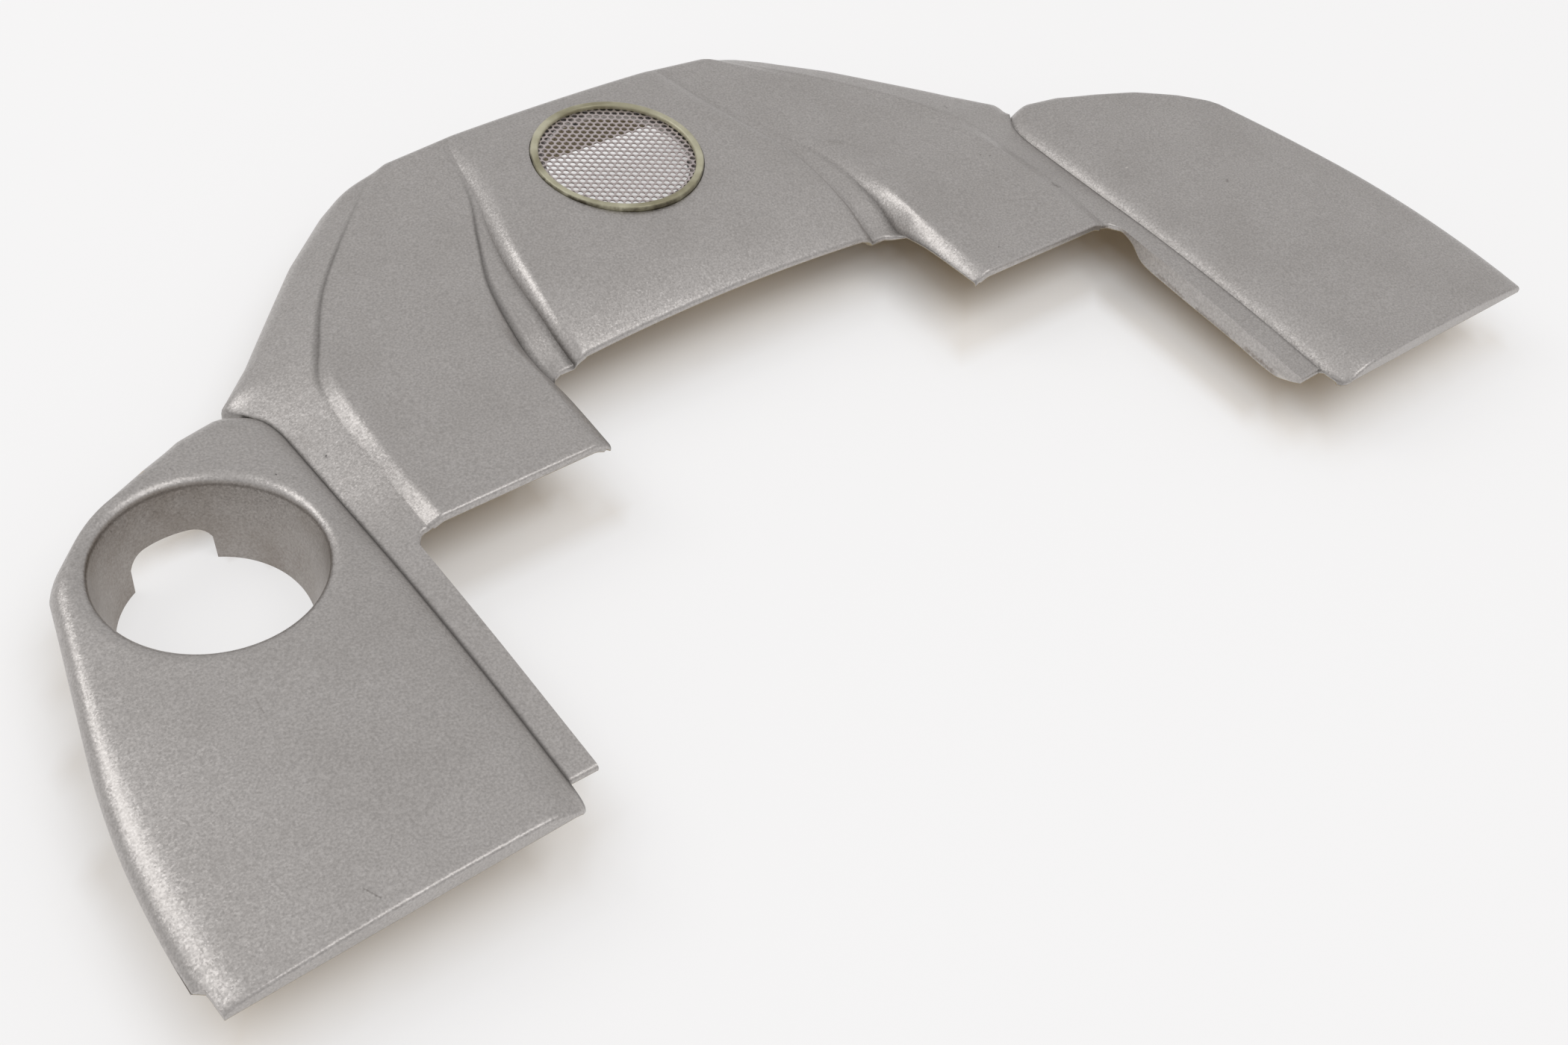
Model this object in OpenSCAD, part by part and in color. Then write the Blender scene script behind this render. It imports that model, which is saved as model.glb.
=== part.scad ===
// Moulded engine cover for a V engine: a thin painted shell of five panels with an oil filler
// bowl in one outer panel, a bezel with a perforated disc in the middle and rubber mounts below.
// The cover stands on the floor at z = 0, with its front edges towards -Y. All sizes are in mm.

/* [Shell] */
// Width over the two outer panels
shell_width = 750; // [746:2:780]
// Depth from the front tips of the outer panels to the rear edge
shell_depth = 360; // [356:2:380]
// Thickness of the moulding
skin = 2.5; // [2:0.1:3]
// Height of the shell's base plane above the floor
base_height = 38; // [34:1:46]
// Rise of the middle panel above the base plane
middle_rise = 17.3; // [14:0.1:20]
// Distance that the skirt along the rear edge reaches below the base plane
rear_skirt = 26; // [16:1:30]

/* [Bezel] */
// Outer diameter of the bezel ring
bezel_diameter = 86; // [80:1:92]
// Width of the ring's band
bezel_band = 4; // [3:0.25:6]
// Height of the ring's top above the middle panel
bezel_proud = 0.9; // [0.6:0.1:2]
// Thickness of the perforated disc
disc_thickness = 1.2; // [0.8:0.1:1.6]
// Distance between neighbouring perforations
hole_pitch = 5; // [4.5:0.5:9]
// Diameter of a perforation
hole_diameter = 3.7; // [2.8:0.1:4.2]
// Number of pegs under the ring
peg_count = 3; // [3:1:6]
// Diameter of a peg
peg_diameter = 3.5; // [2.5:0.25:3.75]

/* [Filler bowl] */
// Inner diameter of the bowl below its lip
throat_diameter = 92.6; // [84:0.2:94]
// Inner diameter at the bottom of the bowl
foot_diameter = 79; // [70:0.5:82]
// Width of the notch in the rear of the bowl
notch_width = 36.5; // [26:0.5:44]
// Height of the notch above the floor
notch_height = 16; // [10:0.5:22]

/* [Mounts] */
// Bore of a rubber mount, which takes a ball stud
stud_bore = 10; // [8:0.25:12]
// Length of that bore
stud_depth = 9; // [7:0.5:11]
// Outer diameter of a rubber mount
rubber_diameter = 20; // [18:0.5:24]
// Height of a rubber mount
rubber_height = 20; // [18:0.5:24]
// Wall of the socket round a rubber mount
socket_wall = 2.5; // [2:0.25:3.5]

/* [Sub-part] */
// Sub-part to build, or all of them

/* [Hidden] */

// Places in plan were laid out on a cover of this width and depth and stretch with it
plan_width = 750;
plan_depth = 360;
stretch_x = shell_width / plan_width;
stretch_y = shell_depth / plan_depth;

// Front edges and turning points along the depth, at the laid-out size
tip_y = -180;
strip_y = -164.5;
finger_y = -32;
mouth_y = 23;
heel_y = 70;
flank_y = 79.6;
rear_y = 180;

// Lines in plan as [y, x], and heights as [y, z above the base plane]
middle_side = [[24, 86.8], [45, 87.4], [78, 84.4], [101, 78.7], [136, 66], [180, 54]];
groove_foot = [[-32, 109.8], [-2, 107.9], [20, 106.5], [45, 107.3], [77, 101.9], [105, 90], [136, 76],
    [180, 66]];
finger_side = [[-32, 197.7], [13, 198], [62, 194], [79, 185], [116, 161], [165, 113.5], [180, 98]];
strip_side = [[-180, 223.8], [-164.5, 222.5], [45, 222.5], [60, 225], [70, 231.5], [79.6, 236]];
flank_side = [[79.6, 237], [96, 216.5], [144.5, 168], [167, 140.5], [177, 125], [180, 112]];
outer_side = [[-180, 375.4], [-165, 375.3], [-141, 374.3], [-107, 371], [-74, 365], [-37, 355.4],
    [-4, 346.5], [15, 341.5]];
tip_notch = [[-180, 370.4], [-168, 370.9], [-165.6, 374.1], [-164.6, 376]];
outer_rear = [[231, 70], [243, 71.5], [265, 66.5], [286, 57.5], [306, 47.5], [324, 33.5], [341.5, 15]];
groove_rise = [[-32, 1.6], [0, 0.2], [14, -2], [23, -4.5], [49, 3], [77, 7], [105, 9.2], [136, 11.2],
    [180, 10.5]];
strip_inner_rise = [[-164, -2.7], [-129, -1.3], [-93, 0.5], [-54, 1.5], [-26, 2.2], [4, 3], [39, 1.6],
    [61, 2.4], [79, 4.4], [119, 4.4], [144, 5.2], [180, 5]];
strip_outer_rise = [[-164, -2.1], [-115, 0], [-51, 0], [-1, -2.2], [44, -4], [66, -4.5], [79.6, -5],
    [96, -3], [120, -2], [177, -1], [180, 0]];
strip_flange_rise = [[-164.5, -6], [-159, -9], [-149, -12.5], [-121, -11.5], [-73, -10.5], [-56, -9],
    [-47, -3.2], [-41, -1.4]];
step_width = [[-180, 21], [-100, 17], [0, 15], [66, 13]];
side_roll = [[-180, 16], [-107, 13], [-37, 8], [13, 7]];
groove_side_width = [[23, 7], [60, 7], [160, 16]];
finger_wall = 9;
finger_fall = 10;
finger_fall_foot = 4.8;
groove_side_share = 0.55;
groove_end_y = 105;
groove_end_run = 45;

// Crowns of the panels: rise above the base plane as a polynomial of x and y in units of 100 mm
middle_top_y = 120;
middle_fall = [15.1, 96, 2.6];
middle_camber = [2.2, 85];
finger_form = [9.64, -2.26, 7.85, -1.76, -4.35];
outer_form = [5.86, 1.77, -4.25, -5.71, -2, 1.81];
outer_form_x = 280;

// Depth of the edges
middle_edge = 3;
finger_edge = 4.5;
side_edge_front = -4.4;
side_edge_rear = -8;
front_edge_inner = -1.2;
front_edge_outer = -4;
rear_roll = [7, 6];
flank_roll = [9, 7];
edge_roll = [1.8, 1.5];
side_drop = 6;

function mix(a, b, t) = a + (b - a) * t;
function unit(t) = min(1, max(0, t));
function ease(t) = unit(t) * unit(t) * (3 - 2 * unit(t));
// Profile of a moulded step: a sharp foot, a steep wall and a long round top
function step_shape(t) = 3 * unit(t) - 2 * pow(unit(t), 1.5);
// Drop of a rounded edge at distance d from it, for a roll of [width, depth]
function roll_drop(d, roll) =
    d >= roll[0] ? 0 : roll[1] * (1 - sqrt(1 - pow(1 - max(d, 0) / roll[0], 2)));

// Smooth curve through the points of a list
function segment(c, u, i = 0) = i >= len(c) - 2 || u < c[i + 1][0] ? i : segment(c, u, i + 1);
function slope(c, i) =
    let(a = max(i - 1, 0), b = min(i + 1, len(c) - 1)) (c[b][1] - c[a][1]) / (c[b][0] - c[a][0]);
function curve(c, u) =
    let(i = segment(c, u), h = c[i + 1][0] - c[i][0], t = unit((u - c[i][0]) / h))
    (2 * t * t * t - 3 * t * t + 1) * c[i][1] + (t * t * t - 2 * t * t + t) * h * slope(c, i)
    + (3 * t * t - 2 * t * t * t) * c[i + 1][1] + (t * t * t - t * t) * h * slope(c, i + 1);
// Straight lines through the points of a list
function chord(c, u) =
    let(i = segment(c, u)) mix(c[i][1], c[i + 1][1], unit((u - c[i][0]) / (c[i + 1][0] - c[i][0])));

// Rise of each panel's crown above the base plane, at a place in the laid-out plan
function middle_z(x, y) = middle_rise
    - middle_fall[0] * pow(abs(y - middle_top_y) / middle_fall[1], middle_fall[2])
    - middle_camber[0] * pow(x / middle_camber[1], 2);
function finger_z(x, y) = let(f = finger_form, u = x / 100, v = y / 100)
    f[0] + f[1] * u + f[2] * v + f[3] * v * v + f[4] * u * v;
function outer_z(x, y) = let(f = outer_form, u = (x - outer_form_x) / 100, v = y / 100)
    f[0] + f[1] * u + f[2] * v + f[3] * u * u + f[4] * v * v + f[5] * u * v;
function groove_z(x, y) =
    mix(curve(groove_rise, y), finger_z(x, y), ease((y - groove_end_y) / groove_end_run));
function strip_x(y) = y < flank_y ? curve(strip_side, y) : chord(flank_side, y);
function strip_z(x, y) =
    let(foot = curve(finger_side, y) + finger_fall_foot)
    mix(curve(strip_inner_rise, y), curve(strip_outer_rise, y), unit((x - foot) / (strip_x(y) - foot)));

// Rise of the painted face over the whole plan: panels joined by moulded steps
function groove_side_x(y) = curve(middle_side, y) + groove_side_share * curve(groove_side_width, y);
function face_z(x, y) =
    let(groove = groove_z(x, y), strip = strip_z(x, y),
        to_middle = step_shape((groove_side_x(y) - x) / curve(groove_side_width, y)),
        to_finger = step_shape((x - curve(groove_foot, y)) / finger_wall),
        inner = groove + (middle_z(x, y) - groove) * to_middle + (finger_z(x, y) - groove) * to_finger,
        to_inner = step_shape((curve(finger_side, y) + finger_fall_foot - x) / finger_fall),
        to_outer = y > heel_y ? 0 : step_shape((x - strip_x(y)) / curve(step_width, y)))
    strip + (inner - strip) * to_inner + (outer_z(x, y) - strip) * to_outer;

// Columns of the grid from the centre line outwards, as [zone, place in the zone]
columns = concat(
    [for (f = [0, 0.3, 0.55, 0.78, 1]) [0, f]],
    [for (s = [0.55, 0.25, 0.08, 0]) [1, s]],
    [[2, 0.5]],
    [for (s = [0, 0.12, 0.32, 0.6, 1]) [3, s]],
    [for (f = [0.35, 0.7]) [4, f]],
    [for (s = [1, 0.5, 0.22, 0.06, 0]) [5, s]],
    [for (f = [0.355, 0.7, 0.88, 0.97, 1]) [6, f]],
    [for (s = [0.1, 0.28, 0.55, 1]) [7, s]],
    [for (f = [0.25, 0.5, 0.75]) [8, f]],
    [for (d = [1, 0.55, 0.25, 0.07, 0]) [9, d]]);
finger_column = 10;
strip_column = 22;
step_column = 26;
last_column = len(columns) - 1;
// The side edge is notched at the front tip, and its roll runs on above the notch
function side_edge(y) = min(curve(outer_side, y), chord(tip_notch, y));
function column_x(k, y) =
    let(zone = columns[k][0], t = columns[k][1])
    zone == 0 ? t * (groove_side_x(y) - curve(groove_side_width, y))
    : zone == 1 ? groove_side_x(y) - t * curve(groove_side_width, y)
    : zone == 2 ? mix(groove_side_x(y), curve(groove_foot, y), t)
    : zone == 3 ? curve(groove_foot, y) + t * finger_wall
    : zone == 4 ?
        mix(curve(groove_foot, y) + finger_wall, curve(finger_side, y) + finger_fall_foot - finger_fall, t)
    : zone == 5 ? curve(finger_side, y) + finger_fall_foot - t * finger_fall
    : zone == 6 ? mix(curve(finger_side, y) + finger_fall_foot, strip_x(y), t)
    : zone == 7 ? strip_x(y) + t * curve(step_width, y)
    : zone == 8 ? mix(strip_x(y) + curve(step_width, y), curve(outer_side, y) - curve(side_roll, y), t)
    : mix(side_edge(y), curve(outer_side, y) - curve(side_roll, y), t);

// Rows of the grid from front to rear, closer together along the rounded edges
function spread(a, b, n) = [for (i = [1 : n]) mix(a, b, i / (n + 1))];
roll_rows = [0, 0.5, 1.8];
rear_rows = [4, 1.6, 0.4, 0];
tip_row = 7;
notch_row = 3.2;
rows = concat(
    [for (r = roll_rows) tip_y + r], [tip_y + tip_row],
    [for (r = roll_rows) strip_y + r], [strip_y + notch_row], spread(strip_y, finger_y, 6),
    [for (r = roll_rows) finger_y + r], spread(finger_y, mouth_y, 3),
    [for (r = roll_rows) mouth_y + r], spread(mouth_y, heel_y, 3),
    [for (r = rear_rows) heel_y - r], [flank_y], spread(flank_y, rear_y, 7),
    [for (r = rear_rows) rear_y - r]);
function row_of(y) = search(y, rows)[0];
strip_row = row_of(strip_y);
finger_row = row_of(finger_y);
mouth_row = row_of(mouth_y);
heel_row = row_of(heel_y);
last_row = len(rows) - 1;

// Bends of the front edges in plan: the middle's slight bow, and a concave corner at each arm.
// A corner is [x where it starts, x where it is deepest, x where it ends].
bow = [2, 1.5, 84];
corner_bend = 8;
mouth_corner = [98, 107, 116];
notch_corner_x = [203, 209.6, 222.5];
bend_reach = 30;
function corner_shape(x, c) = x < c[0] ? 0
    : -corner_bend * (x < c[1] ? pow((x - c[0]) / (c[1] - c[0]), 2) : unit((c[2] - x) / (c[2] - c[1])));
function mouth_bend(x) =
    corner_shape(x, mouth_corner) + (x < bow[2] ? bow[0] - bow[1] * pow(x / bow[2], 2) : 0);
function notch_bend(x) = corner_shape(x, notch_corner_x);
function grid_y(k, j) =
    k > step_column || (k == step_column && j < strip_row) ?
        let(end = chord(outer_rear, column_x(k, heel_y)))
        tip_y + (rows[j] - tip_y) * (end - tip_y) / (heel_y - tip_y)
    : let(y = rows[j], x = column_x(k, y))
        y + mouth_bend(x) * unit(1 - abs(y - mouth_y) / bend_reach)
          + notch_bend(x) * unit(1 - abs(y - finger_y) / bend_reach);

// Row at which a column starts and ends, as a free edge or at a neighbouring panel
function first_row(k) =
    k < finger_column ? mouth_row : k < strip_column ? finger_row : k < step_column ? strip_row : 0;
function end_row(k) = k < step_column ? last_row : heel_row;
function edge_end(k) = k > step_column ? heel_row : last_row;

// Point of the painted face before the front and rear edges are rounded, in the laid-out plan.
// Each slant is the share of a distance along the grid that is square to a slanting edge.
flank_slant = 0.7;
outer_rear_slant = 0.85;
function crown_point(k, j) =
    let(y = grid_y(k, j), x = column_x(k, y), zone = columns[k][0],
        side = zone == 9 ? roll_drop(curve(outer_side, y) - x, [curve(side_roll, y), side_drop]) : 0,
        flank = zone == 6 && j > heel_row ?
            roll_drop(flank_slant * (strip_x(y) - x), flank_roll)
            * unit((y - heel_y) / (flank_y - heel_y)) : 0)
    [x, y, face_z(x, y) - side - flank];
crown = [for (k = [0 : last_column]) [for (j = [0 : last_row]) crown_point(k, j)]];

// Distance along a column to its front edge and to its rear edge
function front_gap(k, j) = crown[k][j][1] - crown[k][first_row(k)][1];
function rear_gap(k, j) =
    (crown[k][edge_end(k)][1] - crown[k][j][1]) * (k > step_column ? outer_rear_slant : 1);
inner_roll = [rear_roll[0] - skin, rear_roll[1] - skin];

// The painted face
function top_point(k, j) = crown[k][j]
    - [0, 0, roll_drop(front_gap(k, j), edge_roll) + roll_drop(rear_gap(k, j), rear_roll)];

// The inner face, one skin below along the normal and one skin in from the edges
inset_reach = 12;
function inset(gap) = skin * unit(1 - gap / inset_reach);
function before_edge(k, j) =
    k > 0 && !((k == finger_column && j <= mouth_row) || (k == step_column && j <= strip_row)
        || (k == strip_column && j < finger_row));
function after_edge(k, j) = k < last_column && !(k == step_column && j >= heel_row);
function under_point(k, j) =
    let(p = crown[k][j],
        a = before_edge(k, j) ? crown[k - 1][j] : k == 0 ? p - [1, 0, 0] : p,
        b = after_edge(k, j) ? crown[k + 1][j] : p,
        run = norm([b[0] - a[0], b[2] - a[2]]),
        edge_x = k == strip_column && j >= strip_row && j <= finger_row ? skin
            : k == step_column && j == heel_row ? -skin : 0,
        corner_row = k == strip_column && j >= finger_row ? finger_row
            : k == finger_column && j >= mouth_row ? mouth_row
            : k == step_column && j >= strip_row && j < heel_row ? strip_row : -1,
        corner = corner_row < 0 ? 0 : inset(p[1] - crown[k][corner_row][1]),
        heel = k == step_column && j <= heel_row ? inset(crown[k][heel_row][1] - p[1]) : 0,
        front = inset(front_gap(k, j)), rear = inset(rear_gap(k, j)))
    [p[0] + skin * (b[2] - a[2]) / run + edge_x,
     p[1] + max(front, corner) - max(rear, heel),
     p[2] - skin * (b[0] - a[0]) / run - roll_drop(rear_gap(k, j), inner_roll)];

// Lower end of the flange under an edge point
thin_edge = 3.2;
foot_edge = 1.5;
least_edge = 0.8;
side_end_y = 15;
corner_y = 176;
outer_flange = 12.5;
front_edge_x = [254, 365];
wall_edge_from = 0.3;
function flange_z(k, j) =
    let(p = crown[k][j], top = top_point(k, j)[2], zone = columns[k][0], t = columns[k][1],
        on_wall = (zone == 3 || zone == 5) && t > wall_edge_from)
    j == last_row || (k == step_column && j > heel_row) ?
        mix(face_z(p[0], p[1]) - outer_flange, -rear_skirt, ease((p[1] - heel_y) / (corner_y - heel_y)))
    : k == last_column && j > 0 ?
        mix(side_edge_front, side_edge_rear, unit((p[1] - tip_y) / (side_end_y - tip_y)))
    : j == heel_row && k >= step_column ? face_z(p[0], p[1]) - outer_flange
    : j == 0 ?
        let(across = (p[0] - front_edge_x[0]) / (front_edge_x[1] - front_edge_x[0]))
        min(mix(front_edge_inner, front_edge_outer, across), top - least_edge)
    : k == step_column && j < strip_row ? top - foot_edge
    : k == strip_column && j > strip_row ? curve(strip_flange_rise, p[1])
    : k == finger_column && j > finger_row ? top - foot_edge
    : k < finger_column ? p[2] - middle_edge
    : zone == 4 || on_wall ? p[2] - finger_edge
    : p[2] - thin_edge;

// Walk along the free edge of one half, from the middle of the front to the middle of the rear
half_edge = concat(
    [for (k = [0 : finger_column]) [k, mouth_row]],
    [for (j = [mouth_row - 1 : -1 : finger_row]) [finger_column, j]],
    [for (k = [finger_column + 1 : strip_column]) [k, finger_row]],
    [for (j = [finger_row - 1 : -1 : strip_row]) [strip_column, j]],
    [for (k = [strip_column + 1 : step_column]) [k, strip_row]],
    [for (j = [strip_row - 1 : -1 : 0]) [step_column, j]],
    [for (k = [step_column + 1 : last_column]) [k, 0]],
    [for (j = [1 : heel_row]) [last_column, j]],
    [for (k = [last_column - 1 : -1 : step_column]) [k, heel_row]],
    [for (j = [heel_row + 1 : last_row]) [step_column, j]],
    [for (k = [step_column - 1 : -1 : 0]) [k, last_row]]);
edge = concat(half_edge, [for (i = [len(half_edge) - 2 : -1 : 1]) [-half_edge[i][0], half_edge[i][1]]]);

// From the laid-out half to its place on the cover
function place(p, half) = [half * p[0] * stretch_x, p[1] * stretch_y, base_height + p[2]];
function half_of(k) = k < 0 ? -1 : 1;
grid_columns = [-last_column : last_column];
top_points = [for (k = grid_columns) for (j = [0 : last_row]) place(top_point(abs(k), j), half_of(k))];
under_points = [for (k = grid_columns) for (j = [0 : last_row]) place(under_point(abs(k), j), half_of(k))];
outer_lip = [for (e = edge) let(p = top_point(abs(e[0]), e[1]))
    place([p[0], p[1], flange_z(abs(e[0]), e[1])], half_of(e[0]))];
inner_lip = [for (e = edge) let(p = under_point(abs(e[0]), e[1]))
    place([p[0], p[1], flange_z(abs(e[0]), e[1])], half_of(e[0]))];

function top_index(k, j) = (k + last_column) * (last_row + 1) + j;
function under_index(k, j) = len(top_points) + top_index(k, j);
function quad(a, b, c, d) = [[a, b, c], [a, c, d]];
lip_start = 2 * len(top_points);
edge_count = len(edge);
cells = [for (k = [-last_column : last_column - 1]) let(m = k < 0 ? -k - 1 : k)
    for (j = [first_row(m) : end_row(m) - 1]) [k, j]];
top_faces = [for (c = cells)
    let(k = c[0], j = c[1], a = top_index(k, j), b = top_index(k, j + 1), d = top_index(k + 1, j))
    each k < 0 ? quad(b, d + 1, d, a) : quad(a, b, d + 1, d)];
under_faces = [for (c = cells)
    let(k = c[0], j = c[1], a = under_index(k, j), b = under_index(k + 1, j))
    each quad(a, b, b + 1, a + 1)];
edge_faces = [for (i = [0 : edge_count - 1]) let(n = (i + 1) % edge_count,
        ti = top_index(edge[i][0], edge[i][1]), tn = top_index(edge[n][0], edge[n][1]),
        oi = lip_start + i, on = lip_start + n, li = oi + edge_count, ln = on + edge_count,
        ui = under_index(edge[i][0], edge[i][1]), un = under_index(edge[n][0], edge[n][1]))
    each concat(quad(ti, tn, on, oi), quad(oi, on, ln, li), quad(li, ln, un, ui))];

module moulded_skin() {
    polyhedron(points = concat(top_points, under_points, outer_lip, inner_lip),
        faces = concat(top_faces, under_faces, edge_faces), convexity = 8);
}

// Filler bowl: a lip that follows the outer panel, a tapered wall and a notch at the rear
bowl_x = -284;
bowl_y = -5;
bowl_place = [bowl_x * stretch_x, bowl_y * stretch_y];
throat = throat_diameter / 2;
bowl_steps = 64;
lip_round = 2.4;
lip_seat = 1;
lip_depth = 3.6;
lip_edge_depth = 0.5;
// Rounded lip as [share of its width out from the throat, depth below the painted face]
lip_curve = [[0.96, 0.06], [0.62, 0.36], [0.3, 1.1], [0.08, 2.2], [0, lip_depth]];
lip_profile = concat([[lip_round + lip_seat, lip_edge_depth]], [for (p = lip_curve) [p[0] * lip_round, p[1]]]);
// Finished height of the outer panel, rounded rear edge included, at a real place on the left side
function panel_z(x, y) =
    let(u = abs(x) / stretch_x, v = y / stretch_y)
    base_height + face_z(u, v) - roll_drop(outer_rear_slant * (curve(outer_rear, u) - v), rear_roll);
function bowl_ring(out, down) = [for (i = [0 : bowl_steps - 1])
    let(a = 360 * i / bowl_steps, d = [cos(a), sin(a)],
        x = bowl_place[0] + (throat + out) * d[0], y = bowl_place[1] + (throat + out) * d[1])
    [x, y, panel_z(x, y) - down]];
function floor_ring(radius) = [for (i = [0 : bowl_steps - 1])
    let(a = 360 * i / bowl_steps) [bowl_place[0] + radius * cos(a), bowl_place[1] + radius * sin(a), 0]];
lip_sink = 0.2;
bowl_rings = concat(
    [for (p = lip_profile) bowl_ring(p[0], p[1])],
    [floor_ring(foot_diameter / 2), floor_ring(foot_diameter / 2 + skin)],
    [bowl_ring(skin, lip_depth), bowl_ring(lip_round + lip_seat, skin - lip_sink)]);
bowl_faces = [for (r = [0 : len(bowl_rings) - 1], i = [0 : bowl_steps - 1])
    let(a = r * bowl_steps, b = (r + 1) % len(bowl_rings) * bowl_steps, n = (i + 1) % bowl_steps)
    each quad(a + i, b + i, b + n, a + n)];
notch_corner = 9;

module bowl_wall() {
    difference() {
        polyhedron(points = [for (r = bowl_rings) each r], faces = bowl_faces, convexity = 6);
        translate([bowl_place[0], bowl_place[1], 0]) rotate([90, 0, 180])
            linear_extrude(throat + 3 * skin) notch_outline();
    }
}

// Notch as an arch that is open at the floor
module notch_outline() {
    hull() {
        translate([-notch_width / 2, -1]) square([notch_width, 1]);
        for (side = [-1, 1])
            translate([side * (notch_width / 2 - notch_corner), notch_height - notch_corner])
                circle(notch_corner, $fn = 48);
    }
}

// Seat of the bezel: a ledge under the middle panel round a through opening
bezel_plan_y = 119.7;
bezel_y = bezel_plan_y * stretch_y;
bezel_radius = bezel_diameter / 2;
seat_cut = 0.9;
seat_rim = 2.5;
seat_clearance = 0.2;
ledge_reach = 2.7;
seat_z = base_height + middle_z(0, middle_top_y - bezel_radius / stretch_y) - seat_cut;
opening_radius = bezel_radius - bezel_band - ledge_reach;
peg_circle = bezel_radius - bezel_band / 2;
peg_clearance = 0.3;
seat_overlap = 0.3;
// Depth or height that a cut runs past the face it goes through
past = 10;
module seat_pad() {
    translate([0, bezel_y, seat_z - skin])
        cylinder(h = skin + seat_overlap, r = bezel_radius + seat_rim, $fn = 120);
}
module around_pegs() {
    for (i = [0 : peg_count - 1])
        translate([0, bezel_y, 0]) rotate(90 + 360 * i / peg_count)
            translate([peg_circle, 0, 0]) children();
}

// Sockets for the rubber mounts, each on crossed ribs under a panel. A mount's collar lies between
// the end of the stud's bore and the socket's mouth.
rear_mount = [150, 79];
front_mount = [300, -91];
mount_places = [for (side = [-1, 1], p = [rear_mount, front_mount]) [side * p[0], p[1]]];
socket_radius = rubber_diameter / 2 + socket_wall;
collar_height = 4;
collar_above_bore = 0.5;
collar_top = stud_depth + collar_above_bore;
socket_roof = 2.5;
socket_top = rubber_height + socket_roof;
rib_width = 2;
rib_sink = 1.25;
rib_overlap = 1;
module at_mounts() {
    for (p = mount_places) translate([p[0] * stretch_x, p[1] * stretch_y, 0]) let($mount = p) children();
}
module socket() {
    height = base_height + face_z(abs($mount[0]), $mount[1]) - rib_sink - socket_top + rib_overlap;
    difference() {
        translate([0, 0, collar_top]) cylinder(h = socket_top - collar_top, r = socket_radius, $fn = 60);
        cylinder(h = rubber_height, r = rubber_diameter / 2, $fn = 60);
    }
    for (turn = [0, 90])
        rotate(turn) translate([-socket_radius, -rib_width / 2, socket_top - rib_overlap])
            cube([2 * socket_radius, rib_width, height]);
}

// Stiffening ribs under the panels, from [x, y] to [x, y] in the laid-out plan
rib_depth = 9;
rib_steps = 6;
panel_ribs = [[[-300, -170], [-300, -64]], [[300, -170], [300, 26]],
    [[-352, -91], [-236, -91]], [[236, -91], [352, -91]],
    [[-150, -26], [-150, 135]], [[150, -26], [150, 135]],
    [[-184, 20], [-118, 20]], [[118, 20], [184, 20]], [[-66, 50], [66, 50]]];
module rib(from, to) {
    run = (to - from) / norm(to - from);
    across = [-run[1], run[0]] * rib_width / 2;
    stations = [for (i = [0 : rib_steps]) from + (to - from) * i / rib_steps];
    section = [for (p = stations, c = [[-1, 0], [1, 0], [1, rib_depth], [-1, rib_depth]])
        [(p[0] + across[0] * c[0]) * stretch_x, (p[1] + across[1] * c[0]) * stretch_y,
         base_height + face_z(abs(p[0]), p[1]) - rib_sink - c[1]]];
    sides = [for (i = [0 : rib_steps - 1], c = [0 : 3])
        let(a = 4 * i + c, b = 4 * i + (c + 1) % 4) each quad(a, b, b + 4, a + 4)];
    last = 4 * rib_steps;
    ends = concat(quad(3, 2, 1, 0), quad(last, last + 1, last + 2, last + 3));
    polyhedron(points = section, faces = concat(sides, ends), convexity = 4);
}

module cover_shell() {
    color("#6f7376") difference() {
        union() {
            difference() {
                moulded_skin();
                translate([bowl_place[0], bowl_place[1], base_height - past])
                    cylinder(h = middle_rise + 2 * past, r = throat + lip_round, $fn = 120);
            }
            bowl_wall();
            seat_pad();
            at_mounts() socket();
            for (r = panel_ribs) rib(r[0], r[1]);
        }
        translate([0, bezel_y, seat_z]) cylinder(h = past, r = bezel_radius + seat_clearance, $fn = 120);
        translate([0, bezel_y, seat_z - past]) cylinder(h = 2 * past, r = opening_radius, $fn = 120);
        around_pegs() translate([0, 0, seat_z - past])
            cylinder(h = 2 * past, d = peg_diameter + peg_clearance, $fn = 30);
    }
}

// Bezel ring with a rounded top, a rebate for the disc and pegs below
ring_top = base_height + middle_rise + bezel_proud;
rebate = 1.8;
ring_round = 1.3;
peg_length = 8;
peg_sink = 0.5;
module badge_ring() {
    color("#a9a58d") {
        translate([0, bezel_y, 0]) rotate_extrude($fn = 120) ring_profile();
        around_pegs() translate([0, 0, seat_z - peg_length])
            cylinder(h = peg_length + disc_thickness + peg_sink, d = peg_diameter, $fn = 30);
    }
}
module ring_profile() {
    inner = bezel_radius - bezel_band;
    difference() {
        hull() {
            translate([inner, seat_z]) square([bezel_band, ring_top - ring_round - seat_z]);
            for (x = [inner + ring_round, bezel_radius - ring_round])
                translate([x, ring_top - ring_round]) circle(ring_round, $fn = 32);
        }
        translate([inner - past, seat_z - past]) square([rebate + past, disc_thickness + past]);
    }
}

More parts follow.
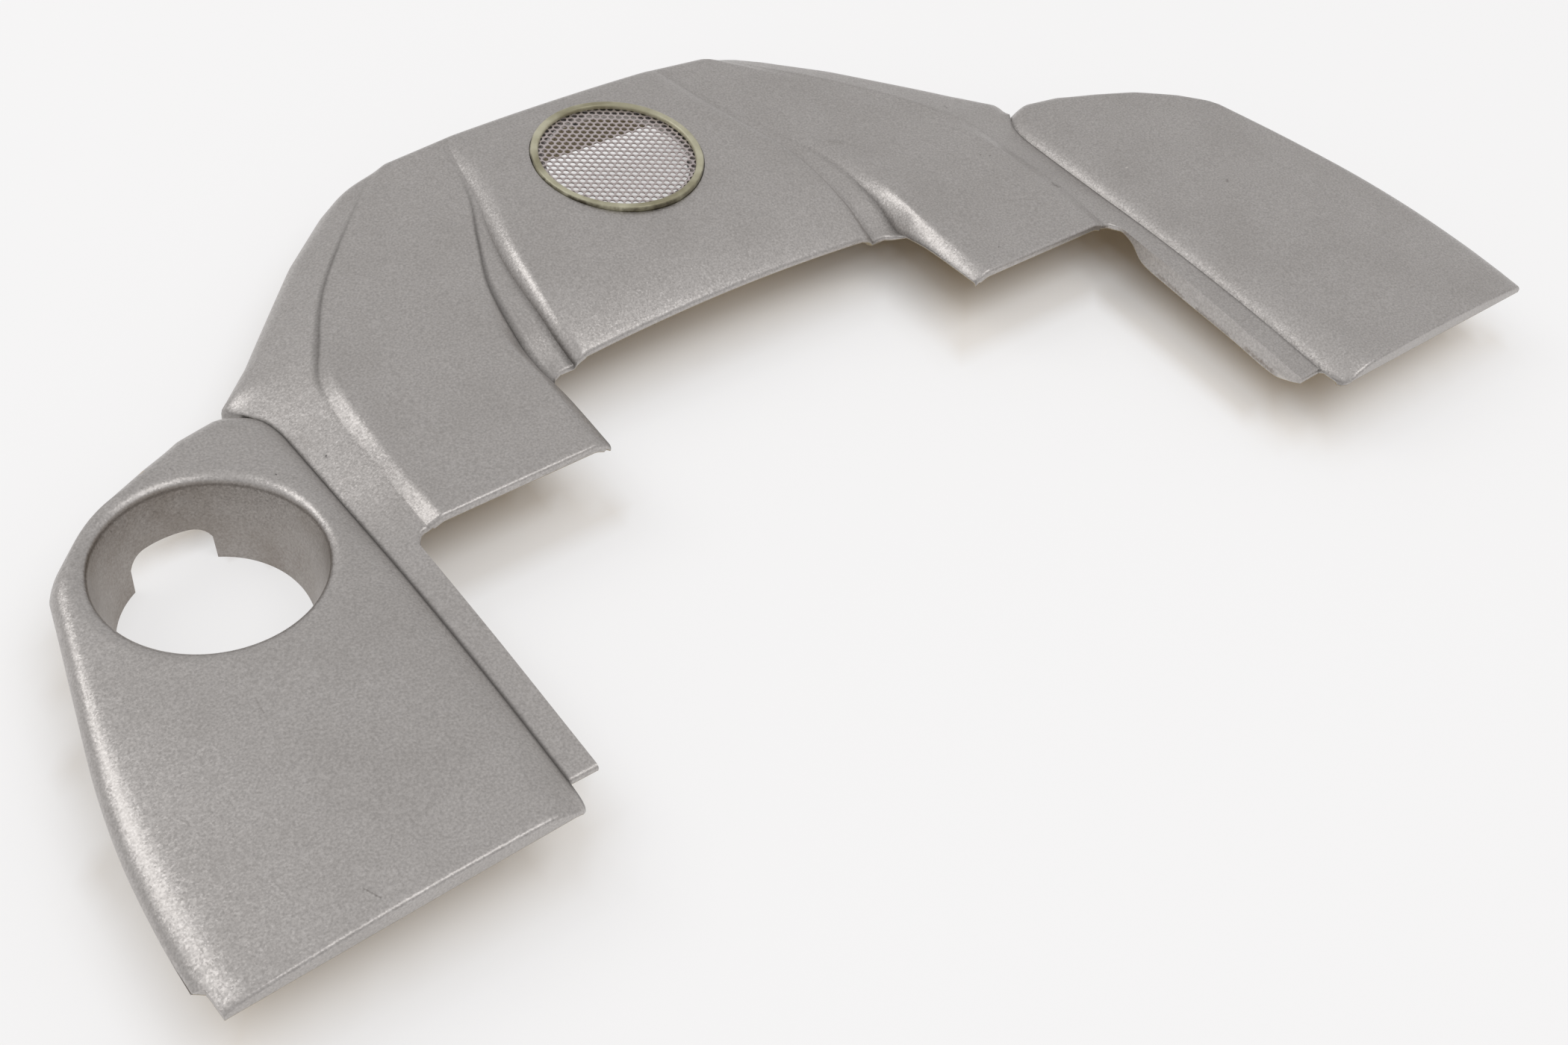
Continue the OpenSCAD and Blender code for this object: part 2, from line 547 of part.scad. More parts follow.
// Perforated disc, held between the ledge and the ring, with room for the pegs
disc_clearance = 0.1;
disc_radius = bezel_radius - bezel_band + rebate - disc_clearance;
plain_rim = 1;
perforated_radius = bezel_radius - bezel_band - plain_rim;
hole_rows = ceil(perforated_radius / (hole_pitch * sin(60)));
hole_columns = ceil(perforated_radius / hole_pitch);
module mesh_disc() {
    color("#8f8c8a") translate([0, 0, seat_z]) linear_extrude(disc_thickness) difference() {
        translate([0, bezel_y]) circle(disc_radius, $fn = 120);
        around_pegs() circle(d = peg_diameter + peg_clearance, $fn = 30);
        for (row = [-hole_rows : hole_rows], i = [-hole_columns : hole_columns]) {
            x = row * hole_pitch * sin(60);
            y = (i + (row % 2 == 0 ? 0 : 0.5)) * hole_pitch;
            if (norm([x, y]) < perforated_radius - hole_diameter / 2)
                translate([x, bezel_y + y]) circle(d = hole_diameter, $fn = 6);
        }
    }
}

// Push-on clips that hold the ring's pegs under the ledge
clip_radius = 6;
clip_thickness = 0.8;
clip_collar = 1.6;
collar_wall = [0.6, 1.5];
module ring_clips() {
    color("#55585a") around_pegs() translate([0, 0, seat_z - skin - clip_thickness]) difference() {
        union() {
            cylinder(h = clip_thickness, r = clip_radius, $fn = 40);
            translate([0, 0, -clip_collar])
                cylinder(h = clip_collar, r1 = peg_diameter / 2 + collar_wall[0],
                    r2 = peg_diameter / 2 + collar_wall[1], $fn = 40);
        }
        translate([0, 0, -past / 2]) cylinder(h = past, d = peg_diameter, $fn = 30);
    }
}

// Rubber mounts pushed into the sockets, each with a blind bore for a ball stud
collar_reach = 2.2;
mount_bevel = 0.8;
module rubber_mounts() {
    body = rubber_diameter / 2;
    collar_bottom = collar_top - collar_height;
    color("#1d1d1e") at_mounts() rotate_extrude($fn = 60) difference() {
        polygon([[0, 0], [body, 0], [body + mount_bevel, mount_bevel], [body + mount_bevel, collar_bottom],
            [body + collar_reach, collar_bottom], [body + collar_reach, collar_top], [body, collar_top],
            [body, rubber_height - mount_bevel], [body - mount_bevel, rubber_height], [0, rubber_height]]);
        translate([-past, -past]) square([stud_bore / 2 + past, stud_depth + past]);
    }
}

cover_shell();
badge_ring();
mesh_disc();
ring_clips();
rubber_mounts();
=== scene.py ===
# Looks of a moulded engine cover: five panels in one painted plastic shell, a filler bowl in the left
# outer panel, a ring with a perforated disc in the middle, and rubber mounts underneath.
import math

import bpy
import numpy as np
from mathutils import Euler, Matrix, Vector
from mathutils.kdtree import KDTree


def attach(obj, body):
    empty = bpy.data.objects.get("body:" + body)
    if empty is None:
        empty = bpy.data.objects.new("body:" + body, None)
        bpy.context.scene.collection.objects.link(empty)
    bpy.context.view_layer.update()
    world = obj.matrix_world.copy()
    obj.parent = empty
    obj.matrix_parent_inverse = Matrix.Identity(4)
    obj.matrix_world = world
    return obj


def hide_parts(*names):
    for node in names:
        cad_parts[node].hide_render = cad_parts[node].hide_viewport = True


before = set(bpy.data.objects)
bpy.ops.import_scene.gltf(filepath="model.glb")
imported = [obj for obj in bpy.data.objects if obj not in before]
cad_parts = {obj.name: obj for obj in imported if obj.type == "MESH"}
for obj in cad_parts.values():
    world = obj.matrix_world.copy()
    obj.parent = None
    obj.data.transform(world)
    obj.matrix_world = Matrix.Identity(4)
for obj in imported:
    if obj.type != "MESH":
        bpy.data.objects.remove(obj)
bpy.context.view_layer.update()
scene = bpy.context.scene

# Studio: a white floor whose soft warm shadow is deepened near the cover by painted shade, a large softbox
# above the rear left, a second one high in front, and a pale surround. The camera stands high in front of the
# left end and looks down on the cover.
scene.view_settings.view_transform = "Standard"
MM = 0.001


def linear(hex_colour):
    """Linear colour of an sRGB hex code."""
    parts = [int(hex_colour[i:i + 2], 16) / 255 for i in (1, 3, 5)]
    return tuple(p / 12.92 if p <= 0.04045 else ((p + 0.055) / 1.055) ** 2.4 for p in parts) + (1.0,)


def add_node(tree, kind, sockets=None, **settings):
    """Adds a node with these settings, and sets or links each of the sockets."""
    made = tree.nodes.new(kind)
    for name, value in settings.items():
        setattr(made, name, value)
    for socket, value in (sockets or {}).items():
        if isinstance(value, bpy.types.NodeSocket):
            tree.links.new(value, made.inputs[socket])
        else:
            made.inputs[socket].default_value = value
    return made


def new_material(name):
    """An empty node material and the tree that it is built in."""
    material = bpy.data.materials.new(name)
    material.use_nodes = True
    material.node_tree.nodes.clear()
    return material, material.node_tree


def new_object(name, mesh, material):
    """An object at the origin that shows the mesh with one material."""
    made = bpy.data.objects.new(name, mesh)
    scene.collection.objects.link(made)
    mesh.materials.clear()
    mesh.materials.append(material)
    return made


camera_data = bpy.data.cameras.new("camera")
camera_data.lens = 43.767568
camera_data.sensor_width = 36
camera_data.sensor_fit = "HORIZONTAL"
camera_data.clip_start = 0.01
camera = bpy.data.objects.new("camera", camera_data)
camera.location = (-0.48289, -0.48261, 0.62873)
camera.rotation_euler = Euler([math.radians(a) for a in (42.7329, -8.0821, -38.8318)], "XYZ")
scene.collection.objects.link(camera)
scene.camera = camera

# Each softbox is its name, its place, its side in metres and its power, and it faces the cover
SOFTBOXES = [("side softbox", (-1.44, 1.56, 2.13), 1.4, 14.5), ("top softbox", (0.5, -0.9, 2.37), 1.3, 10.5)]
for name, position, side, power in SOFTBOXES:
    lamp = bpy.data.lights.new(name, "AREA")
    lamp.shape = "SQUARE"
    lamp.size = side
    lamp.energy = power
    softbox = bpy.data.objects.new(name, lamp)
    softbox.location = position
    softbox.rotation_euler = Vector(position).to_track_quat("Z", "Y").to_euler()
    scene.collection.objects.link(softbox)

world = bpy.data.worlds.new("surround")
scene.world = world
world.use_nodes = True
world.node_tree.nodes.clear()
rays = add_node(world.node_tree, "ShaderNodeLightPath")
surround = add_node(world.node_tree, "ShaderNodeMix",
                    {0: rays.outputs["Is Camera Ray"], 2: 0.64, 3: 1.0}, data_type="FLOAT")
sky = add_node(world.node_tree, "ShaderNodeBackground",
               {"Color": linear("#fffefe"), "Strength": surround.outputs[0]})
add_node(world.node_tree, "ShaderNodeOutputWorld", {"Surface": sky.outputs[0]})

# White paper sweep: a plain matt sheet that the camera and the metal see near white. Near the cover it has
# painted shade: the white lift for those rays fades out and the paper turns tan, a painted warm shadow over
# the real one. On a patch under and behind the disc the lift is at its most, a painted pool of light.
floor_material, tree = new_material("white paper")
rays = add_node(tree, "ShaderNodeLightPath")
openness = add_node(tree, "ShaderNodeAttribute", attribute_name="open").outputs["Fac"]
# Painted warm shadow: the paper's colour goes from tan near the cover to near white away from it
paper_colour_with_painted_warm_shadow = add_node(tree, "ShaderNodeMix", {0: openness, 6: linear("#eedfca"), 7: linear("#f5f5f5")},
                        data_type="RGBA").outputs[2]
paper = add_node(tree, "ShaderNodeBsdfDiffuse", {"Color": paper_colour_with_painted_warm_shadow})
lift = add_node(tree, "ShaderNodeEmission", {"Color": linear("#fefdfd"), "Strength": 1.0})
# Painted shade and light: the share of the white lift follows the floor's attribute, none near the cover
painted_lift_share = add_node(tree, "ShaderNodeMapRange", {0: openness, 3: 0.0, 4: 0.62}).outputs[0]
paper_with_painted_lift = add_node(tree, "ShaderNodeMixShader", {0: painted_lift_share, 1: paper.outputs[0], 2: lift.outputs[0]})
direct = add_node(tree, "ShaderNodeMath",
                  {0: rays.outputs["Is Camera Ray"], 1: rays.outputs["Is Glossy Ray"]}, operation="MAXIMUM")
direct = add_node(tree, "ShaderNodeMath",
                  {0: direct.outputs[0], 1: rays.outputs["Is Transmission Ray"]}, operation="MAXIMUM")
seen = add_node(tree, "ShaderNodeMixShader",
                {0: direct.outputs[0], 1: paper.outputs[0], 2: paper_with_painted_lift.outputs[0]})
add_node(tree, "ShaderNodeOutputMaterial", {"Surface": seen.outputs[0]})

# Cover shell: one injection moulding in glass-filled nylon, sprayed silver on its outer side. Five panels
# meet in moulded steps, and a lipped bowl round the oil filler goes through the left outer panel.
BASE = 38
SKIN = 2.5
# Depths of the four front edges, of the outer panels' rear end, of the flank's start and of the rear edge
TIP_Y, STRIP_Y, FINGER_Y, MOUTH_Y, HEEL_Y, FLANK_Y, REAR_Y = -180, -164.5, -32, 23, 70, 79.6, 180

# Lines in plan as (y, x) and heights as (y, z above the base plane), in mm. Only OUTER_REAR is (x, y).
MIDDLE_SIDE = [(24, 86.8), (45, 87.4), (78, 84.4), (101, 78.7), (136, 66), (180, 54)]
GROOVE_FOOT = [(-32, 109.8), (-2, 107.9), (20, 106.5), (45, 107.3), (77, 101.9), (105, 90), (136, 76),
               (180, 66)]
FINGER_SIDE = [(-32, 197.7), (13, 198), (62, 194), (79, 185), (116, 161), (165, 113.5), (180, 98)]
STRIP_SIDE = [(-180, 223.8), (-164.5, 222.5), (45, 222.5), (60, 225), (70, 231.5), (79.6, 236)]
FLANK_SIDE = [(79.6, 237), (96, 216.5), (144.5, 168), (167, 140.5), (177, 125), (180, 112)]
OUTER_SIDE = [(-180, 375), (-165, 374.9), (-141, 374.2), (-107, 371), (-74, 365), (-37, 355.4), (-4, 346.5),
              (15, 341.5)]
TIP_NOTCH = [(-180, 370.4), (-168, 370.9), (-165.6, 374.1), (-164.6, 376)]
OUTER_REAR = [(231, 70), (243, 71.5), (265, 66.5), (286, 57.5), (306, 47.5), (324, 33.5), (341.5, 15)]
GROOVE_RISE = [(-32, 1.6), (0, 0.2), (14, -2), (23, -4.5), (49, 3), (77, 7), (105, 9.2), (136, 11.2),
               (180, 10.5)]
STRIP_INNER_RISE = [(-164, -2.7), (-129, -1.3), (-93, 0.5), (-54, 1.5), (-26, 2.2), (4, 3), (39, 1.6),
                    (61, 2.4), (79, 4.4), (119, 4.4), (144, 5.2), (180, 5)]
STRIP_OUTER_RISE = [(-164, -2.1), (-115, 0), (-51, 0), (-1, -2.2), (44, -4), (66, -4.5), (79.6, -5), (96, -3),
                    (120, -2), (177, -1), (180, 0)]
STRIP_FLANGE_RISE = [(-164.5, -6), (-159, -9), (-149, -12.5), (-121, -11.5), (-73, -10.5), (-56, -9),
                     (-47, -3.2), (-41, -1.4)]
STEP_WIDTH = [(-180, 21), (-100, 17), (0, 15), (66, 13)]
SIDE_ROLL = [(-180, 16), (-107, 13), (-37, 8), (13, 7)]
GROOVE_SIDE_WIDTH = [(23, 7), (60, 7), (160, 16)]
GROOVE_SIDE_SHARE = 0.55
FINGER_WALL, FINGER_FALL, FINGER_FOOT = 9, 8, 3.8
STRIP_PLACE = 0.355
SIDE_DROP, SIDE_END_Y, CORNER_Y = 6, 15, 176
TIP_ROUND = 4.5
OUTER_FLANGE, REAR_SKIRT = 12.5, 26
# Rolled edges as (width, depth)
EDGE_ROLL, REAR_ROLL, FLANK_ROLL = (1.8, 1.5), (7, 6), (9, 7)
# Shares of a distance along the grid that are square to the slanting rear edge and flank
REAR_SLANT, FLANK_SLANT = 0.85, 0.7
MIDDLE_RISE, MIDDLE_TOP_Y = 17.3, 120
# Behind this depth the groove rises over this length until it is level with the finger
GROOVE_FADE_Y, GROOVE_FADE = 105, 45
# Share of an even ramp in the shape of a finger's inner wall
RAMP_SHARE = 0.6


def unit(t):
    """The value, kept between 0 and 1."""
    return np.clip(t, 0, 1)


def mix(a, b, t):
    """The value at share t of the way from a to b."""
    return a + (b - a) * t


def ease(t):
    """From 0 to 1 with a soft start and a soft end."""
    return unit(t) ** 2 * (3 - 2 * unit(t))


def step_shape(t):
    """Profile of a moulded step: a sharp foot, a steep wall and a long round top."""
    return 3 * unit(t) - 2 * unit(t) ** 1.5


def ramp_shape(t):
    """Profile of a moulded wall: a sharp foot, an even slope and a tight round top."""
    slope, bend = 1.12, 0.786
    return np.where(t < bend, slope * unit(t), 1 - slope / (2 * (1 - bend)) * (1 - unit(t)) ** 2)


def roll_drop(distance, width, depth):
    """Drop of a rounded edge at this distance from it."""
    inside = unit(1 - np.maximum(distance, 0) / width)
    return depth * (1 - np.sqrt(1 - inside ** 2))


def chord(points, u):
    """Straight lines through the points."""
    return np.interp(u, [p[0] for p in points], [p[1] for p in points])


def curve(points, u):
    """Smooth curve through the points."""
    at = np.array([p[0] for p in points], float)
    value = np.array([p[1] for p in points], float)
    ahead = np.minimum(np.arange(len(at)) + 1, len(at) - 1)
    behind = np.maximum(np.arange(len(at)) - 1, 0)
    slope = (value[ahead] - value[behind]) / (at[ahead] - at[behind])
    i = np.clip(np.searchsorted(at, u, side="right") - 1, 0, len(at) - 2)
    gap = at[i + 1] - at[i]
    t = unit((u - at[i]) / gap)
    return ((2 * t ** 3 - 3 * t ** 2 + 1) * value[i] + (t ** 3 - 2 * t ** 2 + t) * gap * slope[i]
            + (3 * t ** 2 - 2 * t ** 3) * value[i + 1] + (t ** 3 - t ** 2) * gap * slope[i + 1])


def middle_z(x, y):
    """Crown of the middle panel above the base plane."""
    return MIDDLE_RISE - 15.1 * (abs(y - MIDDLE_TOP_Y) / 96) ** 2.6 - 2.2 * (x / 85) ** 2


def finger_z(x, y):
    """Crown of a finger above the base plane, as a polynomial in units of 100 mm."""
    u, v = x / 100, y / 100
    return 9.64 - 2.26 * u + 7.85 * v - 1.76 * v * v - 4.35 * u * v


def outer_z(x, y):
    """Crown of an outer panel above the base plane, as a polynomial in units of 100 mm."""
    u, v = (x - 280) / 100, y / 100
    return 5.86 + 1.77 * u - 4.25 * v - 5.71 * u * u - 2 * v * v + 1.81 * u * v


def strip_x(y):
    """Outer line of a strip, and of the flank behind it."""
    return np.where(y < FLANK_Y, curve(STRIP_SIDE, y), chord(FLANK_SIDE, y))


def groove_side_x(y):
    """Foot of the step from the groove up to the middle panel."""
    return curve(MIDDLE_SIDE, y) + GROOVE_SIDE_SHARE * curve(GROOVE_SIDE_WIDTH, y)


def face_z(x, y):
    """Rise of the painted face above the base plane: panels joined by moulded steps."""
    groove = mix(curve(GROOVE_RISE, y), finger_z(x, y), ease((y - GROOVE_FADE_Y) / GROOVE_FADE))
    foot = curve(FINGER_SIDE, y) + FINGER_FOOT
    across = unit((x - foot) / (strip_x(y) - foot))
    strip = mix(curve(STRIP_INNER_RISE, y), curve(STRIP_OUTER_RISE, y), across)
    to_middle = step_shape((groove_side_x(y) - x) / curve(GROOVE_SIDE_WIDTH, y))
    to_finger = (x - curve(GROOVE_FOOT, y)) / FINGER_WALL
    to_finger = mix(step_shape(to_finger), ramp_shape(to_finger), RAMP_SHARE)
    inner = groove + (middle_z(x, y) - groove) * to_middle + (finger_z(x, y) - groove) * to_finger
    to_inner = ramp_shape((foot - x) / FINGER_FALL)
    to_outer = (x - strip_x(y)) / curve(STEP_WIDTH, y)
    to_outer = np.where(y > HEEL_Y + 1e-6, 0, step_shape(to_outer))
    return strip + (inner - strip) * to_inner + (outer_z(x, y) - strip) * to_outer


# The grid's columns follow the moulded lines from the centre outwards, each as (zone, place in the zone).
# Zones: 0 middle panel, 1 groove side, 2 groove floor, 3 inner wall of the finger, 4 finger, 5 its outer
# wall, 6 strip, 7 step, 8 outer panel, 9 its rolled side edge.
def evenly(a, b, count):
    """Ends of this many equal parts from a to b."""
    return list(np.linspace(a, b, count + 1)[1:])


wall_places = [0.015, 0.04, 0.08, 0.13, 0.2, 0.28, 0.38, 0.5, 0.64, 0.8, 1]
roll_places = [0.02, 0.06, 0.13, 0.22, 0.33, 0.46, 0.6, 0.78]
columns = [(0, t) for t in [0] + evenly(0, 1, 24)]
columns += [(1, s) for s in wall_places[-2::-1] + [0]]
columns += [(2, t) for t in (0.25, 0.5, 0.75)]
columns += [(3, s) for s in [0] + wall_places]
finger_column = len(columns) - len(wall_places) - 1
columns += [(4, t) for t in evenly(0, 1, 18)[:-1]]
columns += [(5, s) for s in wall_places[::-1] + [0]]
columns += [(6, t) for t in evenly(0, STRIP_PLACE, 4)]
strip_column = len(columns) - 1
columns += [(6, t) for t in evenly(STRIP_PLACE, 0.9, 6) + [0.93, 0.955, 0.975, 0.99, 1]]
step_column = len(columns) - 1
columns += [(7, s) for s in wall_places]
columns += [(8, t) for t in evenly(0, 1, 34)[:-1]]
columns += [(9, s) for s in [1] + roll_places[::-1] + [0]]
last_column = len(columns) - 1
zones = np.array([c[0] for c in columns])
places = np.array([c[1] for c in columns], float)

# Rows run from the front tips to the rear edge and crowd together along the rolled edges
TIP_PITCH, ROW_PITCH = 2.6, 2.8
roll_rows = [0.12, 0.4, 0.8, 1.3, 1.8]
notch_rows = [2.5, 3.2, 3.8, 4.4]
rear_rows = [6.2, 5, 3.9, 2.9, 2, 1.2, 0.6, 0.2, 0]


def between(a, b, pitch):
    """Places between a and b, about this pitch apart, without the ends."""
    count = max(2, round((b - a) / pitch))
    return list(np.linspace(a, b, count + 1)[1:-1])


rows = [TIP_Y] + [TIP_Y + r for r in roll_rows] + between(TIP_Y + roll_rows[-1], STRIP_Y, TIP_PITCH)
rows += [STRIP_Y] + [STRIP_Y + r for r in roll_rows + notch_rows]
rows += between(STRIP_Y + notch_rows[-1], FINGER_Y, ROW_PITCH)
for start_y, end_y in ((FINGER_Y, MOUTH_Y), (MOUTH_Y, HEEL_Y - REAR_ROLL[0])):
    rows += [start_y] + [start_y + r for r in roll_rows]
    rows += between(start_y + roll_rows[-1], end_y, ROW_PITCH)
rows += [HEEL_Y - r for r in rear_rows] + between(HEEL_Y, REAR_Y - REAR_ROLL[0], ROW_PITCH)
rows += [REAR_Y - r for r in rear_rows]
rows = np.array(rows, float)
last_row = len(rows) - 1
strip_row, finger_row, mouth_row, heel_row = [int(np.argmin(abs(rows - y)))
                                              for y in (STRIP_Y, FINGER_Y, MOUTH_Y, HEEL_Y)]


def column_x(y):
    """Place across the cover of every column at these depths; y has one row for each column."""
    t = places[:, None]
    side, width = groove_side_x(y), curve(GROOVE_SIDE_WIDTH, y)
    foot, fall = curve(GROOVE_FOOT, y), curve(FINGER_SIDE, y) + FINGER_FOOT
    step, outer, roll = curve(STEP_WIDTH, y), curve(OUTER_SIDE, y), curve(SIDE_ROLL, y)
    by_zone = [t * (side - width), side - t * width, mix(side, foot, t), foot + t * FINGER_WALL,
               mix(foot + FINGER_WALL, fall - FINGER_FALL, t), fall - t * FINGER_FALL,
               mix(fall, strip_x(y), t), strip_x(y) + t * step, mix(strip_x(y) + step, outer - roll, t),
               mix(np.minimum(outer, chord(TIP_NOTCH, y)), outer - roll, t)]
    return np.choose(zones[:, None] * np.ones_like(y, int), by_zone)


# Front edges in plan: the middle has a slight bow, and each arm starts in a concave corner, which is
# (x where it starts, x where it is deepest, x where it ends)
MOUTH_BOW_X = 84
MOUTH_CORNER, FINGER_CORNER = (98, 107, 116), (203, 209.6, 222.5)
CORNER_BEND, BEND_REACH = 8, 30


def corner_bend(x, start, deepest, end):
    """Draws the front edge forwards round a concave corner."""
    return -CORNER_BEND * np.select([x < start, x < deepest], [0 * x, ((x - start) / (deepest - start)) ** 2],
                                    unit((end - x) / (end - deepest)))


def mouth_bend(x):
    """Bends the middle's front edge."""
    return np.where(x < MOUTH_BOW_X, 2 - 1.5 * (x / MOUTH_BOW_X) ** 2, corner_bend(x, *MOUTH_CORNER))


def tip_bend(x, y):
    """Rounds the inner front corner of an outer panel in plan."""
    inside = unit(1 - (x - strip_x(y)) / TIP_ROUND)
    return TIP_ROUND * (1 - np.sqrt(1 - inside ** 2)) * unit(1 - (y - TIP_Y) / (3 * TIP_ROUND))


# Fields over the half grid, in which k_of and j_of are each point's own column and row
k_of = np.arange(last_column + 1)[:, None] * np.ones((1, last_row + 1), int)
j_of = np.ones((last_column + 1, 1), int) * np.arange(last_row + 1)[None, :]
row_y = rows[None, :] * np.ones((last_column + 1, 1))
outward = (k_of > step_column) | ((k_of == step_column) & (j_of < strip_row))
outer_end = chord(OUTER_REAR, column_x(0 * row_y + HEEL_Y))
outer_y = TIP_Y + (row_y - TIP_Y) * (outer_end - TIP_Y) / (HEEL_Y - TIP_Y)
plain_x = column_x(row_y)
inner_y = (row_y + mouth_bend(plain_x) * unit(1 - abs(row_y - MOUTH_Y) / BEND_REACH)
           + corner_bend(plain_x, *FINGER_CORNER) * unit(1 - abs(row_y - FINGER_Y) / BEND_REACH))
grid_y = np.where(outward, outer_y + tip_bend(column_x(outer_y), outer_y), inner_y)
grid_x = column_x(grid_y)

zone_of = zones[k_of]
side_fall = roll_drop(curve(OUTER_SIDE, grid_y) - grid_x, curve(SIDE_ROLL, grid_y), SIDE_DROP)
side_fall = np.where(zone_of == 9, side_fall, 0)
flank_fall = roll_drop(FLANK_SLANT * (strip_x(grid_y) - grid_x), *FLANK_ROLL)
flank_fall = flank_fall * unit((grid_y - HEEL_Y) / (FLANK_Y - HEEL_Y))
flank_fall = np.where((zone_of == 6) & (j_of > heel_row), flank_fall, 0)
crown_z = face_z(grid_x, grid_y) - side_fall - flank_fall

first_row = np.select([k_of < finger_column, k_of < strip_column, k_of < step_column],
                      [mouth_row, finger_row, strip_row], 0)
edge_end = np.where(k_of > step_column, heel_row, last_row)
front_gap = grid_y - np.take_along_axis(grid_y, first_row, 1)
rear_gap = np.take_along_axis(grid_y, edge_end, 1) - grid_y
rear_gap = rear_gap * np.where(k_of > step_column, REAR_SLANT, 1)
top_z = crown_z - roll_drop(front_gap, *EDGE_ROLL) - roll_drop(rear_gap, *REAR_ROLL)

# The inner face lies one skin below along the normal, and one skin in from the free edges. Beside a free
# edge the normal comes from the one neighbour that the edge leaves.
no_before = (k_of == 0) | ((k_of == finger_column) & (j_of <= mouth_row))
no_before |= ((k_of == step_column) & (j_of <= strip_row)) | ((k_of == strip_column) & (j_of < finger_row))
no_after = (k_of == last_column) | ((k_of == step_column) & (j_of >= heel_row))
column_before = np.maximum(k_of - 1, 0)
column_after = np.minimum(k_of + 1, last_column)


def at_column(field, column):
    """The field's values in these columns, row by row."""
    return np.take_along_axis(field, column, 0)


x_before = np.where(no_before, np.where(k_of == 0, grid_x - 1, grid_x), at_column(grid_x, column_before))
z_before = np.where(no_before, crown_z, at_column(crown_z, column_before))
x_after = np.where(no_after, grid_x, at_column(grid_x, column_after))
z_after = np.where(no_after, crown_z, at_column(crown_z, column_after))
run = np.maximum(np.hypot(x_after - x_before, z_after - z_before), 1e-9)
INSET_REACH = 12


def inset(gap):
    """Distance of the inner face from a free edge: one skin at the edge, none further in."""
    return SKIN * unit(1 - gap / INSET_REACH)


start_at = {row: grid_y[:, row][:, None] for row in (strip_row, finger_row, mouth_row, heel_row)}
edge_x = np.select([(k_of == strip_column) & (j_of >= strip_row) & (j_of <= finger_row),
                    (k_of == step_column) & (j_of == heel_row)], [SKIN, -SKIN], 0)
corner = np.select([(k_of == strip_column) & (j_of >= finger_row),
                    (k_of == finger_column) & (j_of >= mouth_row),
                    (k_of == step_column) & (j_of >= strip_row) & (j_of < heel_row)],
                   [inset(grid_y - start_at[row]) for row in (finger_row, mouth_row, strip_row)], 0)
heel = np.where((k_of == step_column) & (j_of <= heel_row), inset(start_at[heel_row] - grid_y), 0)
under_x = grid_x + SKIN * (z_after - z_before) / run + edge_x
under_y = grid_y + np.maximum(inset(front_gap), corner) - np.maximum(inset(rear_gap), heel)
under_z = crown_z - SKIN * (x_after - x_before) / run
under_z = under_z - roll_drop(rear_gap, REAR_ROLL[0] - SKIN, REAR_ROLL[1] - SKIN)

# Lower end of the flange below each free edge, as z above the base plane. The later lines win at corners.
PLAIN_FLANGE, FINGER_FLANGE, MIDDLE_FLANGE, INNER_FLANGE, TIP_FLANGE = 3.2, 4.5, 3, 1.5, 0.8
TIP_FLANGE_X, TIP_FLANGE_RISE, SIDE_FLANGE_RISE = (254, 365), (-1.2, -4), (-4.4, -8)
FINGER_FLANGE_START = 0.3
on_finger = (zone_of == 4) | (((zone_of == 3) | (zone_of == 5)) & (places[k_of] > FINGER_FLANGE_START))
flange_z = np.where(on_finger, crown_z - FINGER_FLANGE, crown_z - PLAIN_FLANGE)
flange_z = np.where(k_of < finger_column, crown_z - MIDDLE_FLANGE, flange_z)
flange_z = np.where((k_of == finger_column) & (j_of > finger_row), top_z - INNER_FLANGE, flange_z)
flange_z = np.where((k_of == strip_column) & (j_of > strip_row), curve(STRIP_FLANGE_RISE, grid_y), flange_z)
flange_z = np.where((k_of == step_column) & (j_of < strip_row), top_z - INNER_FLANGE, flange_z)
tip_rise = mix(*TIP_FLANGE_RISE, (grid_x - TIP_FLANGE_X[0]) / (TIP_FLANGE_X[1] - TIP_FLANGE_X[0]))
flange_z = np.where(j_of == 0, np.minimum(tip_rise, top_z - TIP_FLANGE), flange_z)
below_face = face_z(grid_x, grid_y) - OUTER_FLANGE
flange_z = np.where((j_of == heel_row) & (k_of >= step_column), below_face, flange_z)
side_rise = mix(*SIDE_FLANGE_RISE, unit((grid_y - TIP_Y) / (SIDE_END_Y - TIP_Y)))
flange_z = np.where((k_of == last_column) & (j_of > 0), side_rise, flange_z)
skirt_rise = mix(below_face, -REAR_SKIRT, ease((grid_y - HEEL_Y) / (CORNER_Y - HEEL_Y)))
flange_z = np.where((j_of == last_row) | ((k_of == step_column) & (j_of > heel_row)), skirt_rise, flange_z)

# The free edge of one half as (column, row), from the middle of the front round to the middle of the rear
half_edge = [(k, mouth_row) for k in range(finger_column + 1)]
half_edge += [(finger_column, j) for j in range(mouth_row - 1, finger_row - 1, -1)]
half_edge += [(k, finger_row) for k in range(finger_column + 1, strip_column + 1)]
half_edge += [(strip_column, j) for j in range(finger_row - 1, strip_row - 1, -1)]
half_edge += [(k, strip_row) for k in range(strip_column + 1, step_column + 1)]
half_edge += [(step_column, j) for j in range(strip_row - 1, -1, -1)]
half_edge += [(k, 0) for k in range(step_column + 1, last_column + 1)]
half_edge += [(last_column, j) for j in range(1, heel_row + 1)]
half_edge += [(k, heel_row) for k in range(last_column - 1, step_column - 1, -1)]
half_edge += [(step_column, j) for j in range(heel_row + 1, last_row + 1)]
half_edge += [(k, last_row) for k in range(step_column - 1, -1, -1)]
edge = half_edge + [(-k, j) for k, j in half_edge[-2:0:-1]]

